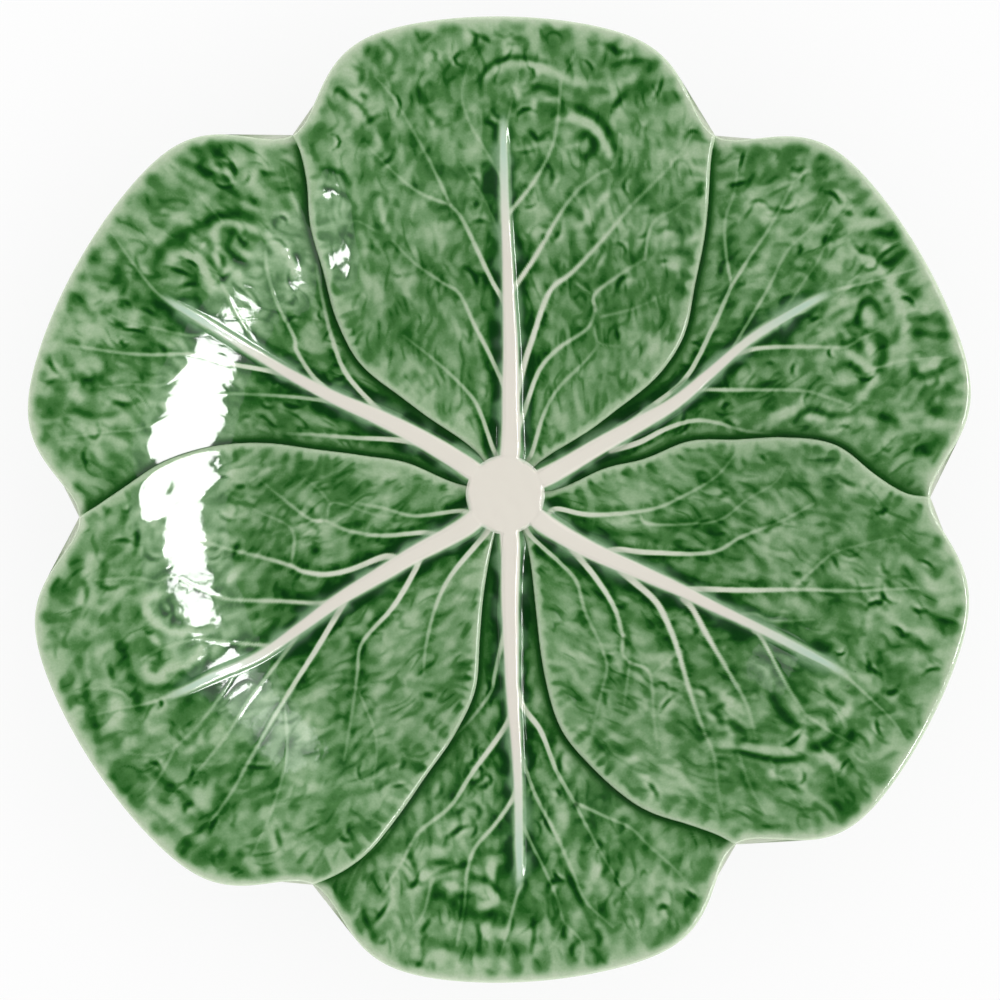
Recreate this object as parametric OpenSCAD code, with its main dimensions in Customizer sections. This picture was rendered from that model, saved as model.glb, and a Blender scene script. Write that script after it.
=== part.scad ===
// Dinner plate in the shape of six cabbage leaves that lap round a stem end.
// The origin is on the table, under the middle of the plate, and +Z is up.

/* [Plate] */
// Distance across the plate, over two opposite leaves
plate_d = 266; // [220:1:330]
// Radius of the flat well
well_r = 67; // [56:0.5:80]
// Width of the wall, from the well to the shoulder, seen from above
wall_w = 39; // [32:0.5:46]
// Height of the wall, from the well to the shoulder
wall_rise = 11.5; // [6:0.5:16]
// Slope of the rim beyond the shoulder, in degrees
rim_slope = 8; // [2:1:14]
// Height of the wave along the rim
rim_wave = 0.7; // [0:0.1:1.5]
// Thickness of the dish under the leaves
dish_t = 3.2; // [2.5:0.1:5]

/* [Foot ring] */
// Height of the ring that the plate stands on
foot_h = 5; // [4.5:0.1:7]
// Width of the ring where it meets the dish
foot_root_w = 6; // [5:0.1:8]
// Width of the flat that stands on the table
foot_flat_w = 2.4; // [1.5:0.1:3]
// How far the ring stands in from the edge of the flat underside
foot_inset = 1.6; // [1:0.1:5]

/* [Leaves] */
// Thickness of a leaf
leaf_t = 1.6; // [1.2:0.1:2.5]
// How far the edge of an upper leaf lifts where it laps its neighbour
lap_rise = 1.3; // [0.4:0.1:2]
// How far in from its edge an upper leaf starts to lift
lap_w = 12; // [6:0.5:18]
// How far a lower leaf dips beside the leaf that laps it
tuck_drop = 0.6; // [0:0.1:0.8]
// Width of the rounding along the edge of a leaf
edge_round = 1.3; // [0.8:0.1:2]
// Width of the bevelled lip round the outline
lip_w = 2.2; // [1.5:0.1:3]

/* [Ribs and veins] */
// Width of a midrib at the stem
rib_w = 5.8; // [4.5:0.1:7]
// Width of a midrib at its tip
rib_tip_w = 2.8; // [2:0.1:4]
// Height of a midrib above its leaf at the stem
rib_h = 2.1; // [1:0.1:3]
// Height of a midrib above its leaf at its tip
rib_tip_h = 0.7; // [0.4:0.1:1.2]
// Width of a large side vein where it leaves the midrib
vein_w = 2.4; // [1.6:0.1:3]
// Height of a large side vein above its leaf
vein_h = 0.9; // [0.5:0.1:1.5]
// How far a side vein's section reaches down into the leaf where it is thinnest, as a share of it
vein_root_share = 0.7; // [0.4:0.05:0.9]

/* [Stem] */
// Radius of the stem end in the middle
stem_r = 11; // [9:0.1:12.5]
// Height of the stem end above the leaves round it
stem_h = 2.4; // [1.5:0.1:3.5]
// Radius of the rounded edge of the stem end
stem_round = 1.2; // [0.5:0.1:1.4]
// How far the stem end stands off the middle along X
stem_off_x = 1.9; // [-3:0.05:3]
// How far the stem end stands off the middle along Y
stem_off_y = 1.35; // [-3:0.05:3]
// Gap between the stem end and the leaves, which have short flat ends there
stem_gap = 0.1; // [0.1:0.05:0.3]

/* [Hidden] */

// Leaves go anticlockwise from the upper right: even ones lie under, odd ones lap over.
UPPER_RIGHT = 0;
TOP = 1;
UPPER_LEFT = 2;
LOWER_LEFT = 3;
BOTTOM = 4;
LOWER_RIGHT = 5;
LEAVES = 6;

// Outline: each notch between two leaves has an angle, a depth and one common width.
notch_angles = [0.3, 59.2, 119.5, 182.4, 244.2, 304.6];
notch_depth_shares = [0.112, 0.127, 0.132, 0.131, 0.115, 0.134];
notch_width = 7.9;
// How far each leaf reaches, as a share of the plate's radius
reach_shares = [1.012, 1, 1, 1.004, 1, 1.006];
// Share of half a leaf over which its reach passes into its neighbour's
reach_blend_share = 0.4;
// How strongly the inner rings take the shape of the outline
lobe_power = 4;

// Angles of the lap edges and midribs at ten even shares of the way from stem to rim.
// Edge i lies between leaf i - 1 and leaf i.
edge_angles = [
    [5.5, 14.6, 14.8, 16.6, 13.9, 12.1, 9.4, 4.1, 1, 0.3],
    [43, 37.6, 37.1, 37.6, 41.1, 47.6, 52.1, 55.6, 58, 59.2],
    [123.5, 133, 136.3, 137.3, 133.5, 128.5, 125.2, 121.8, 120, 119.5],
    [167, 161.5, 163.8, 165.8, 167, 169.5, 173.3, 177.7, 180.6, 182.4],
    [255.5, 258, 260.5, 262, 259, 255, 252.2, 249.8, 247, 244.2],
    [294.5, 287.5, 284, 283, 284.2, 288.8, 293.8, 299.4, 302.8, 304.6]
];
midrib_angles = [
    [24, 27.1, 27.9, 28.4, 30.6, 32.3, 32.4, 31.9, 30.1, 28.6],
    [83.5, 86.2, 87.2, 88.2, 88.8, 89.3, 89.5, 89.5, 89.4, 89.2],
    [143.5, 145.6, 147.7, 149.6, 150, 149.7, 149.3, 149.1, 147.7, 146.1],
    [219, 213.9, 212.6, 212.2, 212.9, 213.2, 211.8, 210.9, 209.5, 208.4],
    [276, 273.3, 272.9, 272.8, 273.2, 273.3, 273.1, 272.8, 271.4, 269.8],
    [323.8, 327.1, 330.3, 332, 332.6, 333.1, 333.2, 333, 331.5, 329.9]
];
// Share of the way to the rim at which each midrib ends
rib_end_shares = [0.8, 0.79, 0.81, 0.8, 0.81, 0.8];

// Side veins, one list for each leaf. A vein has a share of the full size, and the points
// of its route from the midrib outwards in the plan's own grid, x to the right and y down.
plan_across = 967;
plan_mid = [499, 499.5];
vein_plan = [
    [
        [1.0, [[604, 444], [650, 408], [688, 376], [715, 325], [730, 270], [727, 219], [738, 165]]],
        [0.9, [[722, 365], [740, 337], [762, 300], [788, 250], [822, 208]]],
        [0.8, [[735, 355], [775, 346], [820, 347], [860, 338]]],
        [0.9, [[672, 406], [705, 391], [755, 389], [802, 390], [848, 403]]],
        [1.0, [[620, 434], [660, 430], [700, 420], [745, 428], [775, 434]]]
    ],
    [
        [0.9, [[509, 330], [488, 272], [463, 219], [440, 182], [414, 132], [385, 90]]],
        [0.9, [[511, 405], [490, 354], [462, 296], [420, 265], [392, 239]]],
        [0.9, [[507, 447], [481, 414], [441, 365], [403, 334]]],
        [0.8, [[507, 222], [535, 179], [557, 120], [572, 62]]],
        [0.9, [[511, 302], [537, 252], [577, 192], [612, 162]]],
        [1.1, [[513, 405], [531, 340], [556, 284], [604, 237], [650, 180]]],
        [1.0, [[514, 445], [539, 375], [588, 330], [600, 290], [646, 257], [672, 215]]],
        [0.8, [[517, 447], [544, 408], [575, 370], [600, 341]]]
    ],
    [
        [1.1, [[400, 428], [356, 388], [334, 345], [318, 275]]],
        [0.9, [[325, 394], [297, 355], [277, 305], [266, 248]]],
        [0.7, [[255, 353], [237, 315], [210, 266], [188, 245]]],
        [0.8, [[300, 379], [250, 366], [190, 354], [130, 354], [75, 346]]],
        [0.9, [[345, 402], [300, 396], [250, 393], [208, 396]]],
        [1.0, [[425, 441], [385, 439], [335, 436], [286, 433]]]
    ],
    [
        [1.0, [[345, 597], [290, 602], [230, 600], [180, 580], [120, 579]]],
        [0.9, [[445, 538], [390, 537], [325, 521], [280, 498], [258, 479]]],
        [1.0, [[402, 563], [350, 570], [300, 571], [230, 550], [165, 528]]],
        [0.8, [[472, 524], [425, 517], [385, 510], [347, 502]]],
        [1.0, [[420, 551], [390, 610], [362, 650], [354, 700], [343, 755]]],
        [0.9, [[481, 524], [452, 575], [434, 615], [424, 675]]],
        [1.0, [[335, 603], [308, 660], [268, 728], [236, 785], [212, 822]]],
        [0.8, [[288, 640], [248, 701], [212, 752], [175, 792]]]
    ],
    [
        [0.9, [[511, 610], [497, 668], [470, 722], [441, 751]]],
        [0.9, [[514, 700], [490, 750], [450, 808], [410, 848], [382, 892]]],
        [0.8, [[518, 780], [492, 828], [468, 872], [458, 935]]],
        [1.0, [[515, 690], [541, 733], [572, 795], [625, 828], [680, 875]]],
        [0.8, [[518, 745], [537, 800], [568, 865], [609, 920]]]
    ],
    [
        [1.0, [[680, 591], [748, 591], [810, 590], [865, 591], [912, 588]]],
        [1.0, [[598, 555], [655, 553], [712, 552], [765, 530], [812, 505]]],
        [0.9, [[546, 518], [595, 515], [650, 510], [705, 485], [737, 455]]],
        [0.8, [[600, 519], [650, 524], [715, 520], [760, 494], [787, 467]]],
        [1.0, [[568, 538], [610, 595], [634, 665], [654, 715], [658, 748]]],
        [0.9, [[530, 530], [572, 578], [600, 640], [606, 680], [594, 730]]],
        [1.0, [[614, 562], [660, 610], [690, 690], [712, 750], [723, 808]]],
        [0.9, [[752, 626], [788, 686], [825, 727], [858, 747]]]
    ]
];
vein_tip_share = 0.5;
// Longest straight link of a side vein on the flat of the well, and on the wall and rim
flat_link = 16;
vein_link = 8;
// Widths and heights of a vein's section, as shares of its half width and height
vein_section_shares = [[-1, 0], [1, 0], [0, 1]];
// Heights of a midrib's crown at shares of its half width
rib_crown_shares = [[0.66, 0.8], [0, 1], [-0.66, 0.8]];

// Rings of facets between the stem, the well's edge, the shoulder and the lip
well_rings = 4;
wall_rings = 6;
rim_rings = 4;
// Columns of facets from the edge of a leaf to the side of its midrib
column_shares = [0.12, 0.26, 0.42, 0.7];
// Share of a leaf's thickness that is left at the bevelled lip
lip_leaf_share = 0.45;
// Share of the dish's thickness that is left at the bevelled lip
lip_dish_share = 0.6;
// Share of a lap that is left where the leaves meet the stem
lap_stem_share = 0.3;
// Distance over which a lap grows from the stem outwards
lap_grow = 20;
// Share of the rise that is rounded off at the very edge of a leaf
edge_drop_share = 0.45;
// Share of the way to the rim at which its wave begins
wave_start_share = 0.7;

full_turn = 360;
half_turn = 180;
round_fn = 120;
outline_step = 2;
plate_r = plate_d / 2;
stem_share = stem_r / plate_r;
vein_root = (leaf_t - tuck_drop) * vein_root_share;
stem_off = [stem_off_x, stem_off_y];
shoulder_r = well_r + wall_w;
well_z = foot_h + dish_t;
// Distance that the underside's curve lies outside the curve above it
under_lag = dish_t * wall_rise / (wall_w + wall_rise) * 2;
foot_outer_r = well_r + under_lag - foot_inset;
plan_scale = plate_d / plan_across;
rib_half_share = 0.5;

function mix(a, b, t) = a + (b - a) * t;
function clamp(t) = min(max(t, 0), 1);
function smooth(t) = let(u = clamp(t)) u * u * (3 - 2 * u);
// Shortest turn from angle b to angle a
function turn(a, b) = (a - b) - full_turn * round((a - b) / full_turn);

// Smooth curve through evenly spaced values, read at a share t of its length
function along(values, t) =
    let(
        n = len(values) - 1,
        u = clamp(t) * n,
        i = min(floor(u), n - 1),
        f = u - i,
        b = values[i],
        c = values[i + 1],
        a = i > 0 ? values[i - 1] : 2 * b - c,
        d = i + 2 <= n ? values[i + 2] : 2 * c - b
    )
    b + f * ((c - a) + f * ((2 * a - 5 * b + 4 * c - d) + f * (3 * b - a - 3 * c + d))) / 2;

// Tables run from the first tenth of the way out to the rim.
function table_share(share) = (share * 10 - 1) / 9;
function edge_angle(i, share) =
    along(edge_angles[i % LEAVES], table_share(share)) + (i >= LEAVES ? full_turn : 0);
function midrib_angle(leaf, share) = along(midrib_angles[leaf], table_share(share));

// Outline of the plate
function notch_pull(i, a) =
    notch_depth_shares[i] * exp(-pow(turn(a, notch_angles[i]) / notch_width, 2));
function notch_dip(a) =
    notch_pull(0, a) + notch_pull(1, a) + notch_pull(2, a)
    + notch_pull(3, a) + notch_pull(4, a) + notch_pull(5, a);
function lobe_start(leaf) = notch_angles[leaf];
function lobe_end(leaf) = leaf + 1 < LEAVES ? notch_angles[leaf + 1] : notch_angles[0] + full_turn;
// Place across a lobe, from -1 at its first notch to 1 at its second
function lobe_phase(leaf, a) =
    let(mid = (lobe_start(leaf) + lobe_end(leaf)) / 2)
    turn(a, mid) / (lobe_end(leaf) - lobe_start(leaf)) * 2;
function lobe_at(a) =
    [for (leaf = [0 : LEAVES - 1]) if (abs(lobe_phase(leaf, a)) <= 1) leaf][0];
function reach(a) =
    let(
        leaf = lobe_at(a),
        phase = lobe_phase(leaf, a),
        beside = (leaf + (phase > 0 ? 1 : LEAVES - 1)) % LEAVES,
        part = smooth((abs(phase) - 1 + reach_blend_share) / reach_blend_share) / 2
    )
    mix(reach_shares[leaf], reach_shares[beside], part);
// The rings are round at the stem and take the shape of the outline on the way out.
function outline_share(a) = reach(a) * (1 - notch_dip(a));
function lobed(share, a) = mix(1, outline_share(a), pow(share, lobe_power));
function ring_r(share, a) = plate_r * share * lobed(share, a);
function ring_mid(share) = stem_off * (1 - clamp((share - stem_share) / (1 - stem_share)));
function raw_xy(share, a) = ring_mid(share) + ring_r(share, a) * [cos(a), sin(a)];

// Middle of the outline, which is moved to the origin
outline = [for (a = [0 : outline_step : full_turn - outline_step]) raw_xy(1, a)];
outline_x = [for (p = outline) p.x];
outline_y = [for (p = outline) p.y];
outline_mid = [max(outline_x) + min(outline_x), max(outline_y) + min(outline_y)] / 2;
stem_xy = stem_off - outline_mid;
function plan_xy(share, a) = raw_xy(share, a) - outline_mid;

// Share of the way out and angle of a point of the plan
function find_share(r, a, share, tries) =
    tries == 0 ? share
    : find_share(r, a, r / (plate_r * lobed(share, a)), tries - 1);
function find_polar(p, guess, tries) =
    let(
        q = p + outline_mid - ring_mid(guess),
        a = (atan2(q.y, q.x) + full_turn) % full_turn,
        share = find_share(norm(q), a, guess, 4)
    )
    tries == 0 ? [share, a] : find_polar(p, share, tries - 1);

// Height of the wall and rim above the well at a radius from the middle
function rise(r) =
    let(
        t = (r - well_r) / wall_w,
        end_slope = tan(rim_slope) * wall_w
    )
    t <= 0 ? 0
    : t < 1 ? wall_rise * t * t * (3 - 2 * t) + end_slope * t * t * (t - 1)
    : wall_rise + tan(rim_slope) * (r - shoulder_r);
function wave(share, a) =
    let(phase = lobe_phase(lobe_at(a), a))
    -rim_wave * smooth((share - wave_start_share) / (1 - wave_start_share)) * cos(full_turn * phase);
function dish_top(share, a) = well_z + rise(norm(plan_xy(share, a))) + wave(share, a);
function dish_under(share, a) =
    let(
        under = foot_h + rise(norm(plan_xy(share, a)) - under_lag) + wave(share, a),
        top = dish_top(share, a)
    )
    share >= 1 ? mix(top, under, lip_dish_share) : under;

// Thickness of a leaf at a distance from its lapped edge
function near_edge(d, w) = 1 - smooth(d / w);
function laps_over(leaf) = leaf % 2 == 1;
function edge_distance(leaf, share, a) =
    let(
        gap = min(abs(turn(a, edge_angle(leaf, share))), abs(turn(edge_angle(leaf + 1, share), a)))
    )
    ring_r(share, a) * gap * PI / half_turn;
function leaf_thickness(leaf, share, a) =
    let(
        d = edge_distance(leaf, share, a),
        grown = mix(lap_stem_share, 1, smooth((plate_r * share - stem_r) / lap_grow)),
        lift = laps_over(leaf) ? lap_rise * near_edge(d, lap_w) : -tuck_drop * near_edge(d, lap_w),
        rounded = laps_over(leaf) ? lap_rise * edge_drop_share * (1 - clamp(d / edge_round)) : 0
    )
    (leaf_t + (lift - rounded) * grown) * (share >= 1 ? lip_leaf_share : 1);
function leaf_top_z(leaf, share, a) = dish_top(share, a) + leaf_thickness(leaf, share, a);

// Shares of the way out at which the rings lie
lip_share = 1 - lip_w / plate_r;
ring_shares = concat(
    [for (i = [0 : well_rings - 1]) mix(stem_r, well_r, i / well_rings) / plate_r],
    [for (i = [0 : wall_rings - 1]) mix(well_r, shoulder_r, i / wall_rings) / plate_r],
    [for (i = [0 : rim_rings]) mix(shoulder_r / plate_r, lip_share, i / rim_rings)],
    [1]
);
rings = len(ring_shares);

// Half width of a midrib, as an angle at the stem's centre
function rib_half_w(leaf, share) =
    mix(rib_w, rib_tip_w, smooth(share / rib_end_shares[leaf])) * rib_half_share;
function rib_half_angle(leaf, share) = rib_half_w(leaf, share) / ring_r(share, 0) * half_turn / PI;

// Angles of a leaf's columns on one ring, from one edge over the midrib to the other
function side_shares(leaf, share, from, to) =
    let(width = abs(turn(to, from)) * ring_r(share, from) * PI / half_turn)
    concat([0, min(edge_round / width, column_shares[0] / 2)], column_shares);
function columns(leaf, share) =
    let(
        first = edge_angle(leaf, share),
        end = edge_angle(leaf + 1, share),
        mid = midrib_angle(leaf, share),
        half = rib_half_angle(leaf, share),
        in = side_shares(leaf, share, first, mid - half),
        out = side_shares(leaf, share, end, mid + half)
    )
    concat(
        [for (s = in) mix(first, mid - half, s)],
        [mid - half, mid, mid + half],
        [for (i = [len(out) - 1 : -1 : 0]) mix(end, mid + half, out[i])]
    );
side_columns = len(column_shares) + 2;

function grid_xyz(share, a, z) = let(p = plan_xy(share, a)) [p.x, p.y, z];
function dish_row(leaf, share) = [for (a = columns(leaf, share)) grid_xyz(share, a, dish_top(share, a))];
function under_row(leaf, share) =
    [for (a = columns(leaf, share)) grid_xyz(share, a, dish_under(share, a))];
function leaf_row(leaf, share) =
    [for (a = columns(leaf, share)) grid_xyz(share, a, leaf_top_z(leaf, share, a))];

// Faces of a solid between two patches of the same rows and columns, the upper one first
function flat(lists) = [for (l = lists) each l];
function quad(a, b, c, d) = [[a, b, c], [a, c, d]];
function patch_faces(rows, cols, first, down) =
    flat([
        for (i = [0 : rows - 2], j = [0 : cols - 2])
            let(
                a = first + i * cols + j,
                b = a + cols
            )
            [for (f = quad(a, a + 1, b + 1, b)) down ? [f[2], f[1], f[0]] : f]
    ]);
function strip_faces(upper, lower) =
    flat([for (i = [0 : len(upper) - 2]) quad(upper[i], lower[i], lower[i + 1], upper[i + 1])]);
function border(rows, cols) =
    concat(
        [for (j = [0 : cols - 1]) j],
        [for (i = [1 : rows - 1]) i * cols + cols - 1],
        [for (j = [cols - 2 : -1 : 0]) (rows - 1) * cols + j],
        [for (i = [rows - 2 : -1 : 0]) i * cols]
    );
module shell(upper, lower) {
    rows = len(upper);
    cols = len(upper[0]);
    rim = border(rows, cols);
    polyhedron(
        points = concat(flat(upper), flat(lower)),
        faces = concat(
            patch_faces(rows, cols, 0, false),
            patch_faces(rows, cols, rows * cols, true),
            strip_faces(rim, [for (p = rim) p + rows * cols])
        )
    );
}

// The dish is one closed surface: rings of the top, then rings of the underside.
function whole_ring(share, under) =
    flat([
        for (leaf = [0 : LEAVES - 1])
            let(row = under ? under_row(leaf, share) : dish_row(leaf, share))
            [for (j = [0 : len(row) - 2]) row[j]]
    ]);
module dish_body() {
    under_rings = concat([for (i = [rings - 1 : -2 : well_rings + 1]) i], [well_rings]);
    upper = [for (i = [well_rings - 1 : rings - 1]) whole_ring(ring_shares[i], false)];
    lower = [for (i = under_rings) whole_ring(ring_shares[i], true)];
    loops = concat(upper, lower);
    n = len(loops[0]);
    top_mid = len(loops) * n;
    low_mid = top_mid + 1;
    last_loop = (len(loops) - 1) * n;
    color("darkolivegreen")
        polyhedron(
            points = concat(
                flat(loops),
                [[stem_xy.x, stem_xy.y, well_z], [stem_xy.x, stem_xy.y, foot_h]]
            ),
            faces = concat(
                [for (j = [0 : n - 1]) [top_mid, (j + 1) % n, j]],
                flat([
                    for (i = [0 : len(loops) - 2], j = [0 : n - 1])
                        let(
                            a = i * n + j,
                            b = i * n + (j + 1) % n
                        )
                        quad(a, b, b + n, a + n)
                ]),
                [for (j = [0 : n - 1]) [last_loop + j, last_loop + (j + 1) % n, low_mid]]
            )
        );
}

module foot_ring() {
    slope = (foot_root_w - foot_flat_w) / 2;
    inner = foot_outer_r - foot_root_w;
    color("beige")
        rotate_extrude($fn = round_fn)
            polygon([
                [inner, foot_h],
                [inner + slope, 0],
                [foot_outer_r - slope, 0],
                [foot_outer_r, foot_h]
            ]);
}

module leaf(i) {
    shell(
        [for (share = ring_shares) leaf_row(i, share)],
        [for (share = ring_shares) dish_row(i, share)]
    );
}

// Rings that a midrib spans, with its end laid on the nearest one
function rib_rings(i) = [for (share = ring_shares) if (share <= rib_end_shares[i]) share];
function rib_height(i, share) = mix(rib_h, rib_tip_h, smooth(share / rib_end_shares[i]));
function rib_row(i, share, crown) =
    let(
        mid = midrib_angle(i, share),
        half = rib_half_angle(i, share)
    )
    [
        for (c = crown)
            let(a = mid + half * c[0])
            grid_xyz(share, a, leaf_top_z(i, share, a) + rib_height(i, share) * c[1])
    ];
module midrib(i) {
    section = concat([[-1, 0], [0, 0], [1, 0]], rib_crown_shares);
    rows = [for (share = rib_rings(i)) rib_row(i, share, section)];
    n = len(section);
    last_row = (len(rows) - 1) * n;
    polyhedron(
        points = flat(rows),
        faces = concat(
            flat([
                for (r = [0 : len(rows) - 2], j = [0 : n - 1])
                    let(
                        a = r * n + j,
                        b = r * n + (j + 1) % n
                    )
                    j < 2 ? [[b + n, b, a], [a + n, b + n, a]] : quad(a, a + n, b + n, b)
            ]),
            [for (k = [2 : n - 1]) [1, k, (k + 1) % n]],
            [for (k = [2 : n - 1]) [last_row + 1, last_row + (k + 1) % n, last_row + k]]
        )
    );
}

// Route of a side vein in millimetres, cut into links short enough to follow the leaf
function plan_mm(p) = [p.x - plan_mid.x, plan_mid.y - p.y] * plan_scale;
function route(points) =
    let(
        mm = [for (p = points) plan_mm(p)],
        n = len(mm) - 1
    )
    concat(
        [
            for (i = [0 : n - 1])
                let(
                    longest = max(norm(mm[i]), norm(mm[i + 1])) < well_r ? flat_link : vein_link,
                    links = ceil(norm(mm[i + 1] - mm[i]) / longest)
                )
                for (k = [0 : links - 1]) along(mm, (i + k / links) / n)
        ],
        [mm[n]]
    );
// Height of a leaf's facets, which run straight from ring to ring
function facet_z(i, share, a) =
    let(
        k = max([for (j = [0 : rings - 2]) if (j == 0 || ring_shares[j] <= share) j]),
        f = (share - ring_shares[k]) / (ring_shares[k + 1] - ring_shares[k])
    )
    mix(leaf_top_z(i, ring_shares[k], a), leaf_top_z(i, ring_shares[k + 1], a), f);
function vein_slice(i, p, dir, size) =
    let(
        polar = find_polar(p, norm(p) / plate_r, 3),
        base = facet_z(i, polar[0], polar[1]),
        across = [-dir.y, dir.x] / norm(dir)
    )
    [
        for (s = vein_section_shares)
            let(side = across * s[0] * vein_w * size / 2)
            [p.x + side.x, p.y + side.y, base + (s[1] > 0 ? vein_h * size * s[1] : -vein_root)]
    ];
module vein_part(a, b) {
    n = len(a);
    hull()
        polyhedron(
            points = concat(a, b),
            faces = concat(
                [[for (k = [0 : n - 1]) k]],
                [[for (k = [n - 1 : -1 : 0]) n + k]],
                flat([for (k = [0 : n - 1]) quad(k, n + k, n + (k + 1) % n, (k + 1) % n)])
            )
        );
}
module vein(i, size, points) {
    path = route(points);
    n = len(path) - 1;
    slices = [
        for (k = [0 : n])
            vein_slice(
                i, path[k], path[min(k + 1, n)] - path[max(k - 1, 0)],
                size * mix(1, vein_tip_share, k / n)
            )
    ];
    for (k = [0 : n - 1])
        vein_part(slices[k], slices[k + 1]);
}
// A side vein ends where its leaf passes under a neighbour.
module side_veins(i) {
    difference() {
        for (v = vein_plan[i])
            vein(i, v[0], v[1]);
        leaf(i);
        midrib(i);
        translate([stem_xy.x, stem_xy.y, 0])
            cylinder(h = well_z + leaf_t + stem_h, r = stem_r, $fn = round_fn);
        if (!laps_over(i)) {
            leaf((i + 1) % LEAVES);
            leaf((i + LEAVES - 1) % LEAVES);
        }
    }
}

module stem_boss() {
    r = stem_r - stem_gap;
    h = leaf_t + stem_h;
    color("antiquewhite")
        translate([stem_xy.x, stem_xy.y, well_z])
            rotate_extrude($fn = round_fn) {
                square([r, h - stem_round]);
                square([r - stem_round, h]);
                translate([r - stem_round, h - stem_round])
                    intersection() {
                        circle(stem_round);
                        square(stem_round);
                    }
            }
}

module leaf_upper_right() { color("forestgreen") leaf(UPPER_RIGHT); }
module leaf_top() { color("seagreen") leaf(TOP); }
module leaf_upper_left() { color("forestgreen") leaf(UPPER_LEFT); }
module leaf_lower_left() { color("seagreen") leaf(LOWER_LEFT); }
module leaf_bottom() { color("forestgreen") leaf(BOTTOM); }
module leaf_lower_right() { color("seagreen") leaf(LOWER_RIGHT); }

module midrib_upper_right() { color("antiquewhite") midrib(UPPER_RIGHT); }
module midrib_top() { color("antiquewhite") midrib(TOP); }
module midrib_upper_left() { color("antiquewhite") midrib(UPPER_LEFT); }
module midrib_lower_left() { color("antiquewhite") midrib(LOWER_LEFT); }
module midrib_bottom() { color("antiquewhite") midrib(BOTTOM); }
module midrib_lower_right() { color("antiquewhite") midrib(LOWER_RIGHT); }

module side_veins_upper_right() { color("palegreen") side_veins(UPPER_RIGHT); }
module side_veins_top() { color("palegreen") side_veins(TOP); }
module side_veins_upper_left() { color("palegreen") side_veins(UPPER_LEFT); }
module side_veins_lower_left() { color("palegreen") side_veins(LOWER_LEFT); }
module side_veins_bottom() { color("palegreen") side_veins(BOTTOM); }
module side_veins_lower_right() { color("palegreen") side_veins(LOWER_RIGHT); }

dish_body();
foot_ring();
leaf_upper_right();
leaf_top();
leaf_upper_left();
leaf_lower_left();
leaf_bottom();
leaf_lower_right();
midrib_upper_right();
midrib_top();
midrib_upper_left();
midrib_lower_left();
midrib_bottom();
midrib_lower_right();
side_veins_upper_right();
side_veins_top();
side_veins_upper_left();
side_veins_lower_left();
side_veins_bottom();
side_veins_lower_right();
stem_boss();
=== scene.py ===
"""Builds the visible dinner plate, six glazed cabbage leaves round a stem end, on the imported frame."""
import logging
import math
from dataclasses import dataclass, field
from enum import Enum

import bmesh
import bpy
import numpy as np
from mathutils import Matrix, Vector


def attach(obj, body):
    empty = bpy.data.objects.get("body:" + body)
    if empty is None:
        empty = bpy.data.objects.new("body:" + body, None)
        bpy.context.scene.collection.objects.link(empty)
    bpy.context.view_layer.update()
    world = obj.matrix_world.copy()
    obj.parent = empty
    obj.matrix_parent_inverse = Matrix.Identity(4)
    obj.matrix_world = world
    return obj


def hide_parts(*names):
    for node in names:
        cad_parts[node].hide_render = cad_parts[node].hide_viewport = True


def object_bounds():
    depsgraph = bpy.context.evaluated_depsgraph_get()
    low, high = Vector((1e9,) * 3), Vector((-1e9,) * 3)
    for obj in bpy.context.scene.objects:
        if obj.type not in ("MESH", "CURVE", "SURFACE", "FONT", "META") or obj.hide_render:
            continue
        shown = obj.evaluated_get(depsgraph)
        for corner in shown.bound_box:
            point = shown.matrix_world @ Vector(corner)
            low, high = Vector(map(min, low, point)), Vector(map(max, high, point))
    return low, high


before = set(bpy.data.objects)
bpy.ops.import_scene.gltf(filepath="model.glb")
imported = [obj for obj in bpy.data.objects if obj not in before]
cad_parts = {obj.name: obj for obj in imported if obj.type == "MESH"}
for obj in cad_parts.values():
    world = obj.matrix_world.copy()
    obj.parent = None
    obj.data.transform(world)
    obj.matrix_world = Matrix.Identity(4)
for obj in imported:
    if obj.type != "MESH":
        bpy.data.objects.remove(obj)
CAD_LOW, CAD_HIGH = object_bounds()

Array = np.ndarray
LOG = logging.getLogger("plate")
MM = 0.001
LEAVES = 6
GLAZE_IOR = 1.5
FAR = 1e3  # millimetres, where a point is out of reach
TINY = 1e-9  # keeps a division clear of zero
UP, DOWN = np.array([0.0, 0.0, 1.0]), np.array([0.0, 0.0, -1.0])
WHITE = (1, 1, 1, 1)
PAINTED = ("glaze", "cream", "teal")
PARK_LOW, PARK_SIZE = 0.001, 0.008  # the map's corner for faces that nothing can see


class Lap(Enum):
    """How a leaf lies against its two neighbours."""

    OVER = "over"
    UNDER = "under"


# ---- small maths


def smooth(t: Array | float) -> Array | float:
    """Eases from 0 to 1 as t goes from 0 to 1."""
    u = np.clip(t, 0, 1)
    return u * u * (3 - 2 * u)


def mix(a: Array | float, b: Array | float, t: Array | float) -> Array | float:
    """The value a share t of the way from a to b."""
    return a + (b - a) * t


def turn(a: Array | float, b: Array | float) -> Array | float:
    """Shortest turn in degrees from angle b to angle a."""
    return (a - b + 180) % 360 - 180


def bump(d: Array | float, width: float) -> Array | float:
    """A bell that is 1 at d = 0 and has fallen to about a third at one width."""
    return np.exp(-((d / width) ** 2))


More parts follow.
